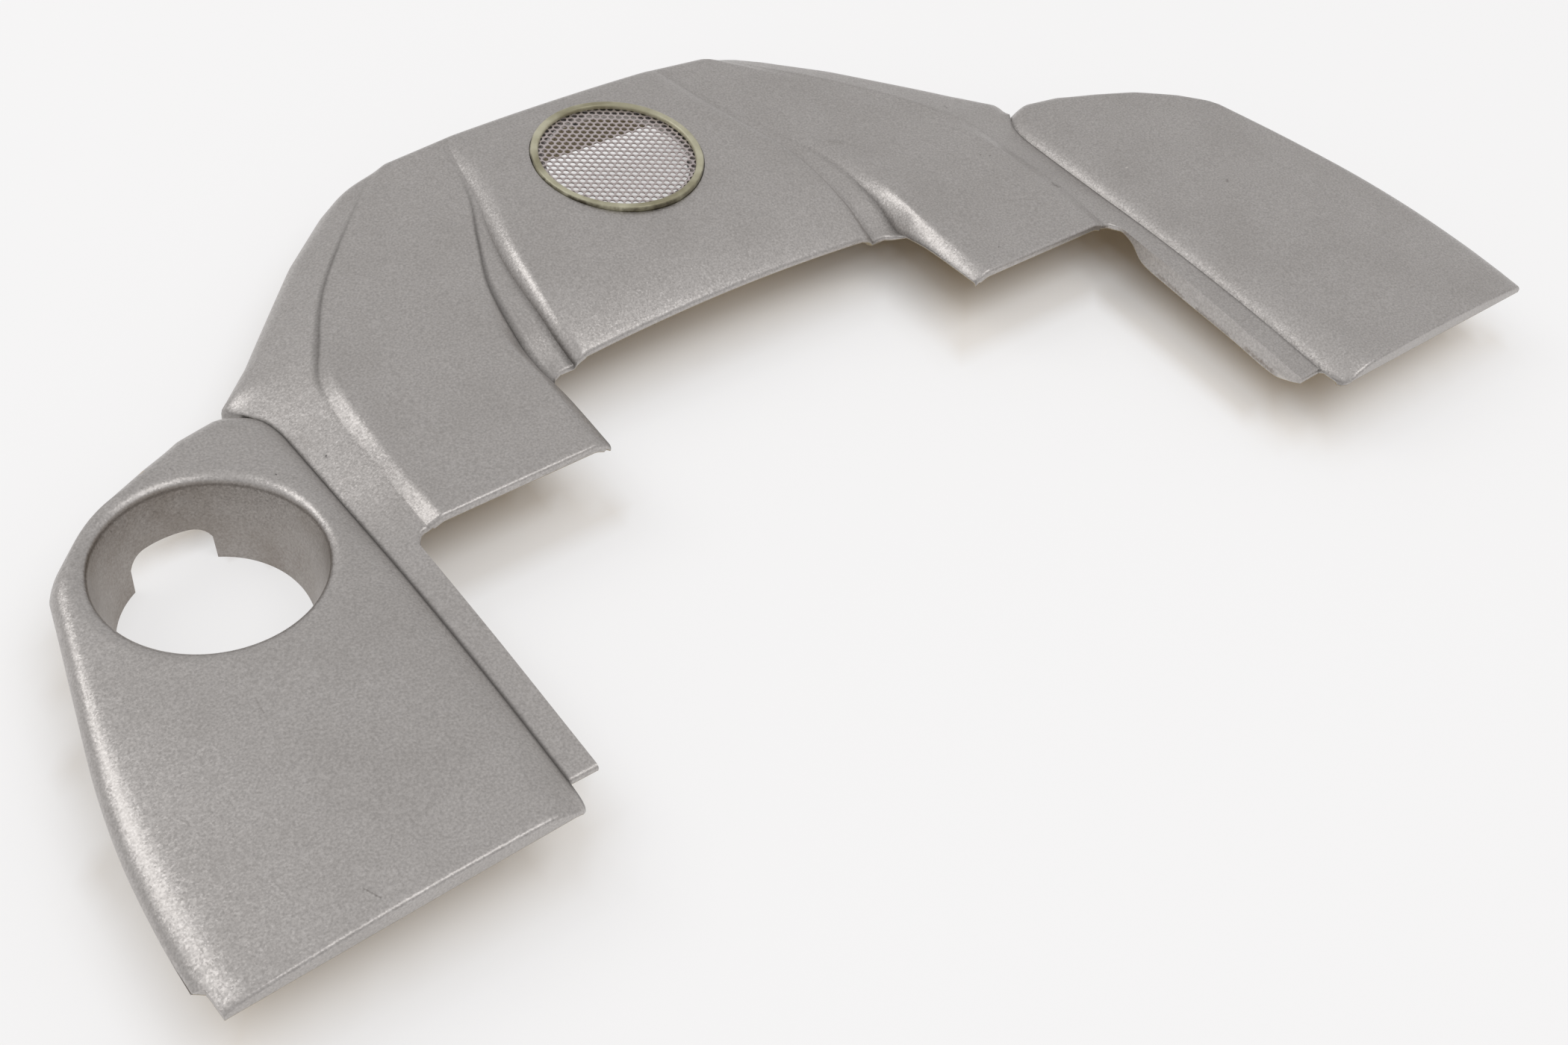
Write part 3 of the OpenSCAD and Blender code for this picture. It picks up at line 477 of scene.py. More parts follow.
# Points and faces are collected in mm, and the two halves mirror each other
points = []
faces = []
face_slots = []
half = np.array([(k, j) for k in range(-last_column, last_column + 1) for j in range(last_row + 1)])
sign = np.where(half[:, 0] < 0, -1, 1)
at_k, at_j = abs(half[:, 0]), half[:, 1]
top_points = np.column_stack([sign * grid_x[at_k, at_j], grid_y[at_k, at_j], BASE + top_z[at_k, at_j]])
under_points = np.column_stack([sign * under_x[at_k, at_j], under_y[at_k, at_j], BASE + under_z[at_k, at_j]])
points += [tuple(p) for p in top_points] + [tuple(p) for p in under_points]


def top_index(k, j):
    """Index of a point of the painted face; k is negative on the left half."""
    return (k + last_column) * (last_row + 1) + j


def under_index(k, j):
    """Index of the point of the inner face below it."""
    return len(top_points) + top_index(k, j)


def add_faces(new, slot):
    """Adds faces that show material slot 0, the paint, or 1, the bare plastic."""
    faces.extend(new)
    face_slots.extend([slot] * len(new))


def add_rings(rings, slots, flip=False):
    """Joins rings of points with the same count each, and returns the index of each ring's first point."""
    starts = []
    for ring in rings:
        starts.append(len(points))
        points.extend([tuple(p) for p in ring])
    count = len(rings[0])
    for a, b, slot in zip(starts, starts[1:], slots):
        band = [(a + i, b + i, b + (i + 1) % count, a + (i + 1) % count) for i in range(count)]
        add_faces([f[::-1] for f in band] if flip else band, slot)
    return starts


def close_ends(starts, count, slot):
    """Closes the first and the last of joined rings with flat faces."""
    add_faces([tuple(starts[0] + i for i in range(count)),
               tuple(starts[-1] + i for i in reversed(range(count)))], slot)


def zip_loops(outer, inner, centre, flip, slot):
    """Fills the band between a ragged loop of the grid and a round ring inside it."""
    def from_least(loop):
        """The loop from its least angle round the centre and back to it, with the angle of each point."""
        turn = [math.atan2(points[i][1] - centre[1], points[i][0] - centre[0]) for i in loop]
        if sum((b - a + math.pi) % (2 * math.pi) - math.pi for a, b in zip(turn, turn[1:])) < 0:
            loop = loop[::-1]
            turn = turn[::-1]
        least = turn.index(min(turn))
        loop, turn = loop[least:] + loop[:least], turn[least:] + turn[:least]
        return loop + loop[:1], list(np.maximum.accumulate(turn)) + [turn[0] + 2 * math.pi]

    outer, outer_turn = from_least(outer)
    inner, inner_turn = from_least(inner)
    a = b = 0
    new = []
    while a < len(outer) - 1 or b < len(inner) - 1:
        if b == len(inner) - 1 or (a < len(outer) - 1 and outer_turn[a + 1] <= inner_turn[b + 1]):
            new.append((outer[a], outer[a + 1], inner[b]))
            a += 1
        else:
            new.append((outer[a], inner[b + 1], inner[b]))
            b += 1
    add_faces([f[::-1] for f in new] if flip else new, slot)


# Filler bowl and bezel seat are cut out of the grid as whole cells, and their rings are sewn in
bowl_centre, seat_centre = (-284.0, -5.0), (0.0, 119.7)
THROAT, LIP_ROUND, SEAT_RADIUS = 45.8, 6.2, 43.2
BOWL_MARGIN, SEAT_MARGIN = 2.2, 2.5
cuts = [(bowl_centre, THROAT + LIP_ROUND + BOWL_MARGIN), (seat_centre, SEAT_RADIUS + SEAT_MARGIN)]
plan = top_points[:, :2]
cut_points = [np.hypot(*(plan - centre).T) < radius for centre, radius in cuts]
seams = [{}, {}]
cell_ends = np.where(np.arange(last_column + 1) < step_column, last_row, heel_row)
for k in range(-last_column, last_column):
    m = -k - 1 if k < 0 else k
    for j in range(first_row[m, 0], cell_ends[m]):
        ring = [top_index(k, j), top_index(k + 1, j), top_index(k + 1, j + 1), top_index(k, j + 1)]
        gone = [n for n in (0, 1) if cut_points[n][ring].any()]
        if gone:
            for a, b in zip(ring, ring[1:] + ring[:1]):
                if seams[gone[0]].pop((b, a), None) is None:
                    seams[gone[0]][(a, b)] = True
            continue
        add_faces([tuple(ring)], 0)
        add_faces([tuple(len(top_points) + i for i in ring[::-1])], 1)


def seam_loop(pairs):
    """Points of the outline of the cells taken out, in order."""
    follow = dict(pairs.keys())
    loop = [next(iter(follow))]
    while follow[loop[-1]] != loop[0]:
        loop.append(follow[loop[-1]])
    return loop


bowl_seam, seat_seam = [seam_loop(seam) for seam in seams]

# Free edges: the flange goes down to a rounded lip and back up inside. Each line along the lip is (share of
# the way from the outer face to the inner face, height above the flange's lower end).
LIP_PATH = [(0, 0.7), (0.04, 0.3), (0.16, 0.06), (0.34, 0), (0.66, 0), (0.9, 0.1), (1, 0.4)]
edge_k = np.array([abs(k) for k, j in edge])
edge_j = np.array([j for k, j in edge])
edge_sign = np.array([-1 if k < 0 else 1 for k, j in edge])
outside = np.column_stack([edge_sign * grid_x[edge_k, edge_j], grid_y[edge_k, edge_j]])
inside = np.column_stack([edge_sign * under_x[edge_k, edge_j], under_y[edge_k, edge_j]])
lip_height = BASE + flange_z[edge_k, edge_j]
edge_count = len(edge)
loops = [[top_index(k, j) for k, j in edge]]
for share, raised in LIP_PATH:
    loops.append(list(range(len(points), len(points) + edge_count)))
    points += [tuple(p) for p in np.column_stack([mix(outside, inside, share), lip_height + raised])]
loops.append([under_index(k, j) for k, j in edge])
for slot, a, b in zip([0] + [1] * len(LIP_PATH), loops, loops[1:]):
    onward = [(i, (i + 1) % edge_count) for i in range(edge_count)]
    add_faces([(a[i], b[i], b[n], a[n]) for i, n in onward], slot)

# Bowl: a rolled lip, a tapered wall down to the floor with an arched notch at the rear, and its outside
ROUND_STEPS = 180
NOTCH_HALF, NOTCH_HEIGHT, NOTCH_CORNER = 18.25, 16, 9
FOOT_RADIUS = 39.5
LIP_START, LIP_DEPTH, WALL_TOP = 0.06, 4.9, 5.6
WALL_RINGS = 6


def ring_points(centre, radius, height, steps=ROUND_STEPS):
    """A ring round an upright axis; radius and height are a number, or one number for each point."""
    turn = 2 * math.pi * np.arange(steps) / steps
    return np.column_stack([centre[0] + radius * np.cos(turn), centre[1] + radius * np.sin(turn),
                            np.broadcast_to(height, turn.shape)])


def below_panel(radius, drop):
    """A ring round the bowl, this far below the outer panel with the roll of its rear edge."""
    ring = ring_points(bowl_centre, radius, 0.0)
    across, along = abs(ring[:, 0]), ring[:, 1]
    rear_fall = roll_drop(REAR_SLANT * (curve(OUTER_REAR, across) - along), *REAR_ROLL)
    return np.column_stack([ring[:, :2], BASE + face_z(across, along) - rear_fall - drop])


def sew_in(seam, starts, centre):
    """Joins the first ring to the painted face round a cut, and the last one to the inner face."""
    first, last = [list(range(start, start + ROUND_STEPS)) for start in (starts[0], starts[-1])]
    zip_loops(seam, first, centre, False, 0)
    zip_loops([len(top_points) + i for i in seam], last, centre, True, 1)


bowl_turn = 2 * math.pi * np.arange(ROUND_STEPS) / ROUND_STEPS
off = abs(FOOT_RADIUS * np.cos(bowl_turn))
in_notch = (off < NOTCH_HALF) & (np.sin(bowl_turn) > 0)
from_arch = np.maximum(off - NOTCH_HALF + NOTCH_CORNER, 0)
arch = NOTCH_HEIGHT - NOTCH_CORNER + np.sqrt(np.maximum(NOTCH_CORNER ** 2 - from_arch ** 2, 0))
wall_end = np.where(in_notch, arch, 0)
lip_top = below_panel(THROAT, WALL_TOP)[:, 2]
share_down = (lip_top - wall_end) / lip_top
lip_rings = [below_panel(THROAT + LIP_ROUND + out, 0) for out in (1.2, 0.5)]
lip_rings += [below_panel(THROAT + LIP_ROUND * (1 - math.sin(a)), LIP_START + LIP_DEPTH * (1 - math.cos(a)))
              for a in np.radians([0, 12, 25, 38, 50, 62, 74, 90])]
wall_parts = [n / WALL_RINGS * share_down for n in range(WALL_RINGS + 1)]
inner_wall = [ring_points(bowl_centre, mix(THROAT, FOOT_RADIUS, part), lip_top * (1 - part))
              for part in wall_parts[1:]]
outer_wall = [ring_points(bowl_centre, mix(THROAT, FOOT_RADIUS, part) + SKIN, lip_top * (1 - part))
              for part in wall_parts[::-1]]
starts = add_rings(lip_rings + inner_wall + outer_wall + [below_panel(THROAT + LIP_ROUND + 1.5, SKIN)],
                   [0] * (len(lip_rings) + WALL_RINGS) + [1] * (WALL_RINGS + 1), flip=True)
oily_rings = starts[len(lip_rings) - 3:len(lip_rings) + WALL_RINGS]
sew_in(bowl_seam, starts, bowl_centre)

# Seat of the ring: a recess in the middle panel with a ledge round the through opening
RING_OUTER = 43
SEAT_CUT, LEDGE_RADIUS, PAD_RADIUS = 0.9, 36.3, 45.5
seat_z = BASE + middle_z(0, MIDDLE_TOP_Y - RING_OUTER) - SEAT_CUT


def below_middle(radius, drop):
    """A ring round the seat, this far below the middle panel."""
    ring = ring_points(seat_centre, radius, 0.0)
    return np.column_stack([ring[:, :2], BASE + middle_z(ring[:, 0], ring[:, 1]) - drop])


rings = [below_middle(SEAT_RADIUS + out, drop) for out, drop in ((0.5, 0), (0.15, 0.05), (0, 0.3))]
seat_profile = [(SEAT_RADIUS, seat_z), (LEDGE_RADIUS, seat_z), (LEDGE_RADIUS, seat_z - SKIN),
                (PAD_RADIUS, seat_z - SKIN)]
rings += [ring_points(seat_centre, radius, height) for radius, height in seat_profile]
rings += [below_middle(PAD_RADIUS + 0.1, SKIN)]
starts = add_rings(rings, [0, 0, 0, 0, 0, 1, 1], flip=True)
sew_in(seat_seam, starts, seat_centre)

# Sockets for the rubber mounts stand on crossed ribs, and further ribs stiffen the panels from below
MOUNTS = [(-150, 79), (150, 79), (-300, -91), (300, -91)]
SOCKET_RADIUS, SOCKET_INNER, SOCKET_BEVEL, SOCKET_STEPS = 12.5, 10, 0.4, 64
SOCKET_BOTTOM, SOCKET_ROOF, SOCKET_TOP = 9.5, 20, 22.5
RIB_HALF, RIB_SINK, RIB_DEPTH, RIB_STATIONS = 1.0, 1.25, 9, 13


def add_rib(start, end, depth=None, bottom=None):
    """A rib from plan point to plan point, with its top sunk in the skin, of a depth or down to a height."""
    start, end = np.array(start, float), np.array(end, float)
    run_to = (end - start) / np.linalg.norm(end - start)
    across = np.array([-run_to[1], run_to[0]]) * RIB_HALF
    rings = []
    for p in [mix(start, end, t) for t in np.linspace(0, 1, RIB_STATIONS)]:
        top = BASE + float(face_z(np.array(abs(p[0])), np.array(p[1]))) - RIB_SINK
        low = bottom if bottom is not None else top - depth
        left, right = p - across, p + across
        rings.append([(*left, top), (*right, top), (*right, low), (*left, low)])
    close_ends(add_rings(rings, [1] * (len(rings) - 1)), 4, 1)


for x, y in MOUNTS:
    profile = [(SOCKET_RADIUS - SOCKET_BEVEL, SOCKET_TOP), (SOCKET_RADIUS, SOCKET_TOP - SOCKET_BEVEL),
               (SOCKET_RADIUS, SOCKET_BOTTOM), (SOCKET_INNER, SOCKET_BOTTOM), (SOCKET_INNER, SOCKET_ROOF)]
    rings = [ring_points((x, y), radius, height, SOCKET_STEPS) for radius, height in profile]
    close_ends(add_rings(rings, [1] * 4), SOCKET_STEPS, 1)
    add_rib((x - SOCKET_RADIUS, y), (x + SOCKET_RADIUS, y), bottom=SOCKET_TOP - 1)
    add_rib((x, y - SOCKET_RADIUS), (x, y + SOCKET_RADIUS), bottom=SOCKET_TOP - 1)
for start, end in [((-300, -170), (-300, -64)), ((300, -170), (300, 26)), ((-352, -91), (-236, -91)),
                   ((236, -91), (352, -91)), ((-150, -26), (-150, 135)), ((150, -26), (150, 135)),
                   ((-184, 20), (-118, 20)), ((118, 20), (184, 20)), ((-66, 50), (66, 50))]:
    add_rib(start, end, depth=RIB_DEPTH)

used = np.zeros(len(points), bool)
used[[i for f in faces for i in f]] = True
new_index = np.cumsum(used) - 1
shell_mesh = bpy.data.meshes.new("cover_shell_skin")
shell_mesh.from_pydata([tuple(np.array(p) * MM) for p, keep in zip(points, used) if keep], [],
                       [tuple(int(new_index[i]) for i in f) for f in faces])
shell_mesh.shade_smooth()
shell_mesh.set_sharp_from_angle(angle=math.radians(38))

# Painted shade and grime along the foot of each moulded step: a dark line about a millimetre wide, stronger
# on the left half
FOOT_SHADE_WIDTH = 1.1
line_y, line_x = grid_y[at_k, at_j], grid_x[at_k, at_j]
# Each foot has its line and the strength of its painted shade and grime as (y, amount) on the left half and
# on the right half
feet = [(strip_x(line_y),
         [(-164, 1), (60, 1), (82, 0.3), (170, 0.2)], [(-164, 0.5), (60, 0.6), (90, 0.1)]),
        (curve(GROOVE_FOOT, line_y),
         [(-30, 0.5), (24, 1), (110, 0.8), (150, 0.1)], [(-30, 0.5), (40, 0.6), (90, 0.1)]),
        (groove_side_x(line_y),
         [(24, 0.9), (60, 0.5), (120, 0.2), (150, 0.1)], [(24, 0.4), (60, 0.1)]),
        (curve(FINGER_SIDE, line_y) + FINGER_FOOT,
         [(-30, 0.1), (50, 0.3), (80, 0.7), (130, 0.6), (165, 0.1)], [(-30, 0.1), (160, 0.1)])]
foot_shade_and_grime_amount = np.zeros(len(points))
for foot_x, left_amount, right_amount in feet:
    amount = np.where(sign < 0, chord(left_amount, line_y), chord(right_amount, line_y))
    line = amount * np.exp(-((line_x - foot_x) / FOOT_SHADE_WIDTH) ** 2)
    foot_shade_and_grime_amount[:len(line)] = np.maximum(foot_shade_and_grime_amount[:len(line)], line)
shell_mesh.attributes.new("foot_darkening", "FLOAT", "POINT").data.foreach_set("value", foot_shade_and_grime_amount[used])
# Oil mist has stained the bowl's wall below its lip, most of all round its left half
oil_amount = np.zeros(len(points))
for start in oily_rings:
    oil_amount[start:start + ROUND_STEPS] = 0.85 - 0.15 * np.cos(bowl_turn)
shell_mesh.attributes.new("oil", "FLOAT", "POINT").data.foreach_set("value", oil_amount[used])


def mark_amount(tree, place, start, end, soft, noise):
    """1 on a stroke from start to end, falling to 0 over its soft width, in mm, with a ragged rim."""
    first = Vector(start) * MM
    along = Vector(end) * MM - first
    length = max(along.length, 1e-6)
    reach = soft * MM
    from_first = add_node(tree, "ShaderNodeVectorMath", {0: place, 1: first}, operation="SUBTRACT").outputs[0]
    dot = add_node(tree, "ShaderNodeVectorMath", {0: from_first, 1: along / length}, operation="DOT_PRODUCT")
    share = add_node(tree, "ShaderNodeMapRange",
                     {0: dot.outputs["Value"], 1: 0.0, 2: length, 3: 0.0, 4: length})
    nearest = add_node(tree, "ShaderNodeVectorMath", {0: along / length, "Scale": share.outputs[0]},
                       operation="SCALE")
    gap = add_node(tree, "ShaderNodeVectorMath", {0: from_first, 1: nearest.outputs[0]}, operation="DISTANCE")
    ragged = add_node(tree, "ShaderNodeMath", {0: noise, 1: 1.2 * reach, 2: gap.outputs["Value"]},
                      operation="MULTIPLY_ADD").outputs[0]
    return add_node(tree, "ShaderNodeMapRange", {0: ragged, 1: 0.35 * reach, 2: 1.6 * reach, 3: 1.0, 4: 0.0},
                    interpolation_type="SMOOTHSTEP").outputs[0]


# Silver lacquer: coarse aluminium flakes make it sparkle where a rolled edge turns to the softbox, and it
# stays an even warm grey on the flat panels, with faint clouds from handling and a few small marks. Clouds
# are 38 mm across and the grain is 1 mm. Real flakes are under 0.1 mm, and are drawn at 0.7 mm so that they
# show at this size.
paint, tree = new_material("sprayed silver lacquer")
place = add_node(tree, "ShaderNodeTexCoord").outputs["Object"]
grain = add_node(tree, "ShaderNodeTexNoise",
                 {"Vector": place, "Scale": 950.0, "Detail": 2.0, "Roughness": 0.6})
clouds = add_node(tree, "ShaderNodeTexNoise",
                  {"Vector": place, "Scale": 26.0, "Detail": 4.0, "Roughness": 0.6})
grain_share = add_node(tree, "ShaderNodeMapRange", {0: grain.outputs[0], 1: 0.3, 2: 0.7})
tone = add_node(tree, "ShaderNodeMix",
                {0: grain_share.outputs[0], 6: linear("#a9a5a2"), 7: linear("#c5c1be")},
                data_type="RGBA").outputs[2]
cloud_share = add_node(tree, "ShaderNodeMapRange", {0: clouds.outputs[0], 1: 0.42, 2: 0.75, 3: 0.0, 4: 0.16})
tone = add_node(tree, "ShaderNodeMix", {0: cloud_share.outputs[0], 6: tone, 7: linear("#857f79")},
                data_type="RGBA").outputs[2]
# Each mark is its two ends and its width in mm, how strongly it shows, and its colour
MARKS = [
    ((-214.8, 26.7, 36.7), (-214.4, 27.6, 36.7), 0.7, 0.9, "#2b2826"),
    ((-239, 24.5, 40.8), (-239, 24.9, 40.8), 0.5, 0.8, "#35312e"),
    ((-240.5, 21.7, 41.1), (-231.8, 19.2, 39.9), 0.5, 0.55, "#6a645f"),
    ((-310.7, -166.7, 44.4), (-307.6, -173.3, 44.3), 0.6, 0.6, "#66605c"),
    ((-302.3, -75.7, 45.7), (-303.1, -83.4, 45.7), 0.7, 0.25, "#7a746f"),
    ((-284.1, 54.1, 39.1), (-282.6, 54.6, 38.9), 1.1, 0.9, "#cdb79a"),
    ((244.5, -5.2, 42.7), (245.4, -5.2, 42.7), 0.8, 0.9, "#e9e4de"),
    ((199.6, 4.5, 42.2), (200.8, 2.6, 42.0), 2.6, 0.7, "#6d6762"),
    ((283.4, -42.9, 45.2), (284.6, -42.3, 45.2), 1.5, 0.6, "#6f6a66"),
    ((134.2, -20.7, 44.1), (134.6, -20.7, 44.1), 0.7, 0.8, "#4c4744"),
    ((194.9, 84.2, 40.8), (195.3, 85.8, 40.7), 1.2, 0.7, "#6a6560"),
    ((179.4, 41, 43.3), (179.9, 41.4, 43.3), 0.9, 0.6, "#6d6863"),
    ((183.5, 38.3, 43.2), (184.2, 38.5, 43.2), 0.9, 0.6, "#6d6863"),
    ((110.8, 85.7, 46.4), (118, 82, 46.4), 3.0, 0.3, "#847e79"),
    ((209, -148, 27.5), (209, -130, 28), 2.4, 0.55, "#6b5c4c"),
    ((209, -118, 28), (209, -96, 28.5), 1.9, 0.5, "#5f5245"),
    ((209, -86, 29), (209, -68, 30), 1.7, 0.5, "#6b5c4c"),
    ((209, -158, 29), (209, -152, 28), 1.6, 0.6, "#dad5ce"),
]
for start, end, width, strength, colour in MARKS:
    amount = mark_amount(tree, place, start, end, width, grain.outputs[0])
    amount = add_node(tree, "ShaderNodeMath", {0: amount, 1: strength}, operation="MULTIPLY").outputs[0]
    tone = add_node(tree, "ShaderNodeMix", {0: amount, 6: tone, 7: linear(colour)},
                    data_type="RGBA").outputs[2]
# Painted shade and grime: the paint darkens in a line along the foot of each step
foot_shade_and_grime = add_node(tree, "ShaderNodeAttribute", attribute_name="foot_darkening").outputs["Fac"]
foot_shade_and_grime = add_node(tree, "ShaderNodeMath", {0: foot_shade_and_grime, 1: 0.75}, operation="MULTIPLY").outputs[0]
tone = add_node(tree, "ShaderNodeMix", {0: foot_shade_and_grime, 6: tone, 7: linear("#3b3733")},
                data_type="RGBA").outputs[2]
oil = add_node(tree, "ShaderNodeAttribute", attribute_name="oil").outputs["Fac"]
oil = add_node(tree, "ShaderNodeMath", {0: oil, 1: clouds.outputs[0]}, operation="MULTIPLY").outputs[0]
tone = add_node(tree, "ShaderNodeMix", {0: oil, 6: tone, 7: linear("#6f604f")}, data_type="RGBA").outputs[2]
flakes = add_node(tree, "ShaderNodeTexVoronoi", {"Vector": place, "Scale": 1500.0})
tilt = add_node(tree, "ShaderNodeVectorMath", {0: flakes.outputs["Color"], 1: (0.5, 0.5, 0.5)},
                operation="SUBTRACT").outputs[0]
tilt = add_node(tree, "ShaderNodeVectorMath", {0: tilt, "Scale": 0.125}, operation="SCALE").outputs[0]
facing = add_node(tree, "ShaderNodeNewGeometry").outputs["Normal"]
tilted = add_node(tree, "ShaderNodeVectorMath", {0: facing, 1: tilt}, operation="ADD").outputs[0]
tilted = add_node(tree, "ShaderNodeVectorMath", {0: tilted}, operation="NORMALIZE").outputs[0]
shader = add_node(tree, "ShaderNodeBsdfPrincipled",
                  {"Base Color": tone, "Metallic": 0.85, "Roughness": 0.38, "Normal": tilted})
add_node(tree, "ShaderNodeOutputMaterial", {"Surface": shader.outputs[0]})


def blotched(name, light, dark, scale, detail, bump=0.0, **finish):
    """A material in two tones that follow a noise, which may also give it a grain to the touch."""
    material, tree = new_material(name)
    place = add_node(tree, "ShaderNodeTexCoord").outputs["Object"]
    noise = add_node(tree, "ShaderNodeTexNoise", {"Vector": place, "Scale": scale, "Detail": detail})
    tone = add_node(tree, "ShaderNodeMix", {0: noise.outputs[0], 6: linear(light), 7: linear(dark)},
                    data_type="RGBA").outputs[2]
    shader = add_node(tree, "ShaderNodeBsdfPrincipled", {"Base Color": tone, **finish})
    if bump:
        rough = add_node(tree, "ShaderNodeBump",
                         {"Strength": bump, "Distance": 0.1 * MM, "Height": noise.outputs[0]})
        tree.links.new(rough.outputs[0], shader.inputs["Normal"])
    add_node(tree, "ShaderNodeOutputMaterial", {"Surface": shader.outputs[0]})
    return material


# Bare nylon: the underside was never sprayed, and its natural cream has darkened to a dull tan with heat,
# in stains about 33 mm across
bare = blotched("heat darkened nylon", "#b5a88c", "#8f8269", 30.0, 4.0, Roughness=0.55)
shell = new_object("shell_moulding", shell_mesh, paint)
shell_mesh.materials.append(bare)
shell_mesh.polygons.foreach_set("material_index", face_slots)
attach(shell, "root")
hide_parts("cover_shell")

# Floor of the studio: an attribute of painted light and shade, low under the cover and growing with the
# distance from the cover's outline outwards, so that a painted shadow hugs the cover, and full on the paper
# that shows through the disc and behind it, a painted pool of light there
FLOOR_REACH, NEAR_REACH, NEAR_LINES = 9000, 900, 151
COVERED_GAP, SHADE_UNDER, SHADE_WIDTH = 5, 40, 66
PAINTED_LIGHT_SPOT, PAINTED_LIGHT_RADIUS, PAINTED_LIGHT_SHARE = (25, 160), 60, 1.6
covered, outline = KDTree(len(top_points)), KDTree(edge_count)
for n in np.flatnonzero(used[:len(top_points)] & ~cut_points[0] & ~cut_points[1]):
    covered.insert(Vector((top_points[n, 0], top_points[n, 1], 0)), int(n))
for n, (x, y) in enumerate(outside):
    outline.insert(Vector((x, y, 0)), n)
covered.balance()
outline.balance()
near_steps = np.linspace(-NEAR_REACH, NEAR_REACH, NEAR_LINES)
floor_steps = np.concatenate([[-FLOOR_REACH], near_steps, [FLOOR_REACH]])
floor_plan = [(x, y) for y in floor_steps for x in floor_steps]
across = len(floor_steps)
floor_faces = [(n, n + 1, n + across + 1, n + across)
               for n in range(across * (across - 1)) if (n + 1) % across]
floor_mesh = bpy.data.meshes.new("floor")
floor_mesh.from_pydata([(x * MM, y * MM, 0) for x, y in floor_plan], [], floor_faces)
floor_open = []
for x, y in floor_plan:
    side = -1 if covered.find(Vector((x, y, 0)))[2] < COVERED_GAP else 1
    gap = side * outline.find(Vector((x, y, 0)))[2]
    # Painted shadow low under and close to the cover; painted light full round a spot under and behind the
    # disc
    out_of_painted_shadow = float(ease((gap + SHADE_UNDER) / SHADE_WIDTH))
    to_spot = math.hypot(x - PAINTED_LIGHT_SPOT[0], y - PAINTED_LIGHT_SPOT[1]) / PAINTED_LIGHT_RADIUS
    floor_open.append(max(out_of_painted_shadow, float(ease(PAINTED_LIGHT_SHARE - to_spot))))
floor_mesh.attributes.new("open", "FLOAT", "POINT").data.foreach_set("value", floor_open)
floor = new_object("floor", floor_mesh, floor_material)

# Ring: a plastic moulding whose bright plating has worn off to yellowed cream, darker in patches along its
# outer foot. It holds the disc down on the seat, and three pegs below it go through the ledge.
RING_INNER, RING_TOP, RING_ROUND, REBATE, DISC_THICK = 39, 56.2, 1.3, 40.8, 1.2
RING_STEPS, RING_BEVEL = 200, 0.2
PEG_CIRCLE, PEG_RADIUS, PEG_TIP, PEG_STEPS = 41, 1.75, 1.3, 24
PEG_SINK, PEG_LENGTH, PEG_TAPER = 1.7, 8, 0.5


def arc(centre, radius, start, end, count):
    """Points on an arc from one angle to another, in degrees."""
    return [(centre[0] + radius * math.cos(math.radians(a)), centre[1] + radius * math.sin(math.radians(a)))
            for a in np.linspace(start, end, count)]


profile = [(RING_OUTER - RING_BEVEL, seat_z), (RING_OUTER, seat_z + RING_BEVEL)]
profile += arc((RING_OUTER - RING_ROUND, RING_TOP - RING_ROUND), RING_ROUND, 0, 90, 9)
profile += arc((RING_INNER + RING_ROUND, RING_TOP - RING_ROUND), RING_ROUND, 90, 180, 9)
profile += [(RING_INNER, seat_z + DISC_THICK + RING_BEVEL), (RING_INNER + RING_BEVEL, seat_z + DISC_THICK),
            (REBATE, seat_z + DISC_THICK), (REBATE, seat_z)]
points, faces, face_slots = [], [], []
rings = [ring_points(seat_centre, radius, height, RING_STEPS) for radius, height in profile + profile[:1]]
add_rings(rings, [0] * len(profile), flip=True)
for angle in np.radians([90, 210, 330]):
    peg_centre = (PEG_CIRCLE * math.cos(angle), seat_centre[1] + PEG_CIRCLE * math.sin(angle))
    path = [(PEG_RADIUS, seat_z + PEG_SINK), (PEG_RADIUS, seat_z - PEG_LENGTH + PEG_TAPER),
            (PEG_TIP, seat_z - PEG_LENGTH)]
    rings = [ring_points(peg_centre, radius, height, PEG_STEPS) for radius, height in path]
    close_ends(add_rings(rings, [0] * 2), PEG_STEPS, 0)

ring_mesh = bpy.data.meshes.new("badge_ring_band")
ring_mesh.from_pydata([tuple(np.array(p) * MM) for p in points], [], faces)
ring_mesh.shade_smooth()
ring_mesh.set_sharp_from_angle(angle=math.radians(50))

# Yellowed plating: cream with olive patches, smooth and slightly shiny, and darker in brown patches at the
# outer foot. The worn places are about 36 mm across and the patches 11 mm.
FOOT_DARKENING_BAND = 0.9
cream, tree = new_material("yellowed worn plating")
place = add_node(tree, "ShaderNodeTexCoord").outputs["Object"]
centred = add_node(tree, "ShaderNodeVectorMath", {0: place, 1: Vector((*seat_centre, 0)) * MM},
                   operation="SUBTRACT").outputs[0]
flat = add_node(tree, "ShaderNodeVectorMath", {0: centred, 1: (1.0, 1.0, 0.0)},
                operation="MULTIPLY").outputs[0]
radius = add_node(tree, "ShaderNodeVectorMath", {0: flat}, operation="LENGTH").outputs["Value"]
patches = add_node(tree, "ShaderNodeTexNoise",
                   {"Vector": place, "Scale": 90.0, "Detail": 4.0, "Roughness": 0.65})
tone = add_node(tree, "ShaderNodeMix", {0: patches.outputs[0], 6: linear("#d3cfb8"), 7: linear("#a5a184")},
                data_type="RGBA").outputs[2]
worn = add_node(tree, "ShaderNodeTexNoise", {"Vector": place, "Scale": 28.0, "Detail": 3.0, "Roughness": 0.6})
worn_share = add_node(tree, "ShaderNodeMapRange", {0: worn.outputs[0], 1: 0.47, 2: 0.6, 3: 0.0, 4: 0.75})
tone = add_node(tree, "ShaderNodeMix", {0: worn_share.outputs[0], 6: tone, 7: linear("#7c7558")},
                data_type="RGBA").outputs[2]
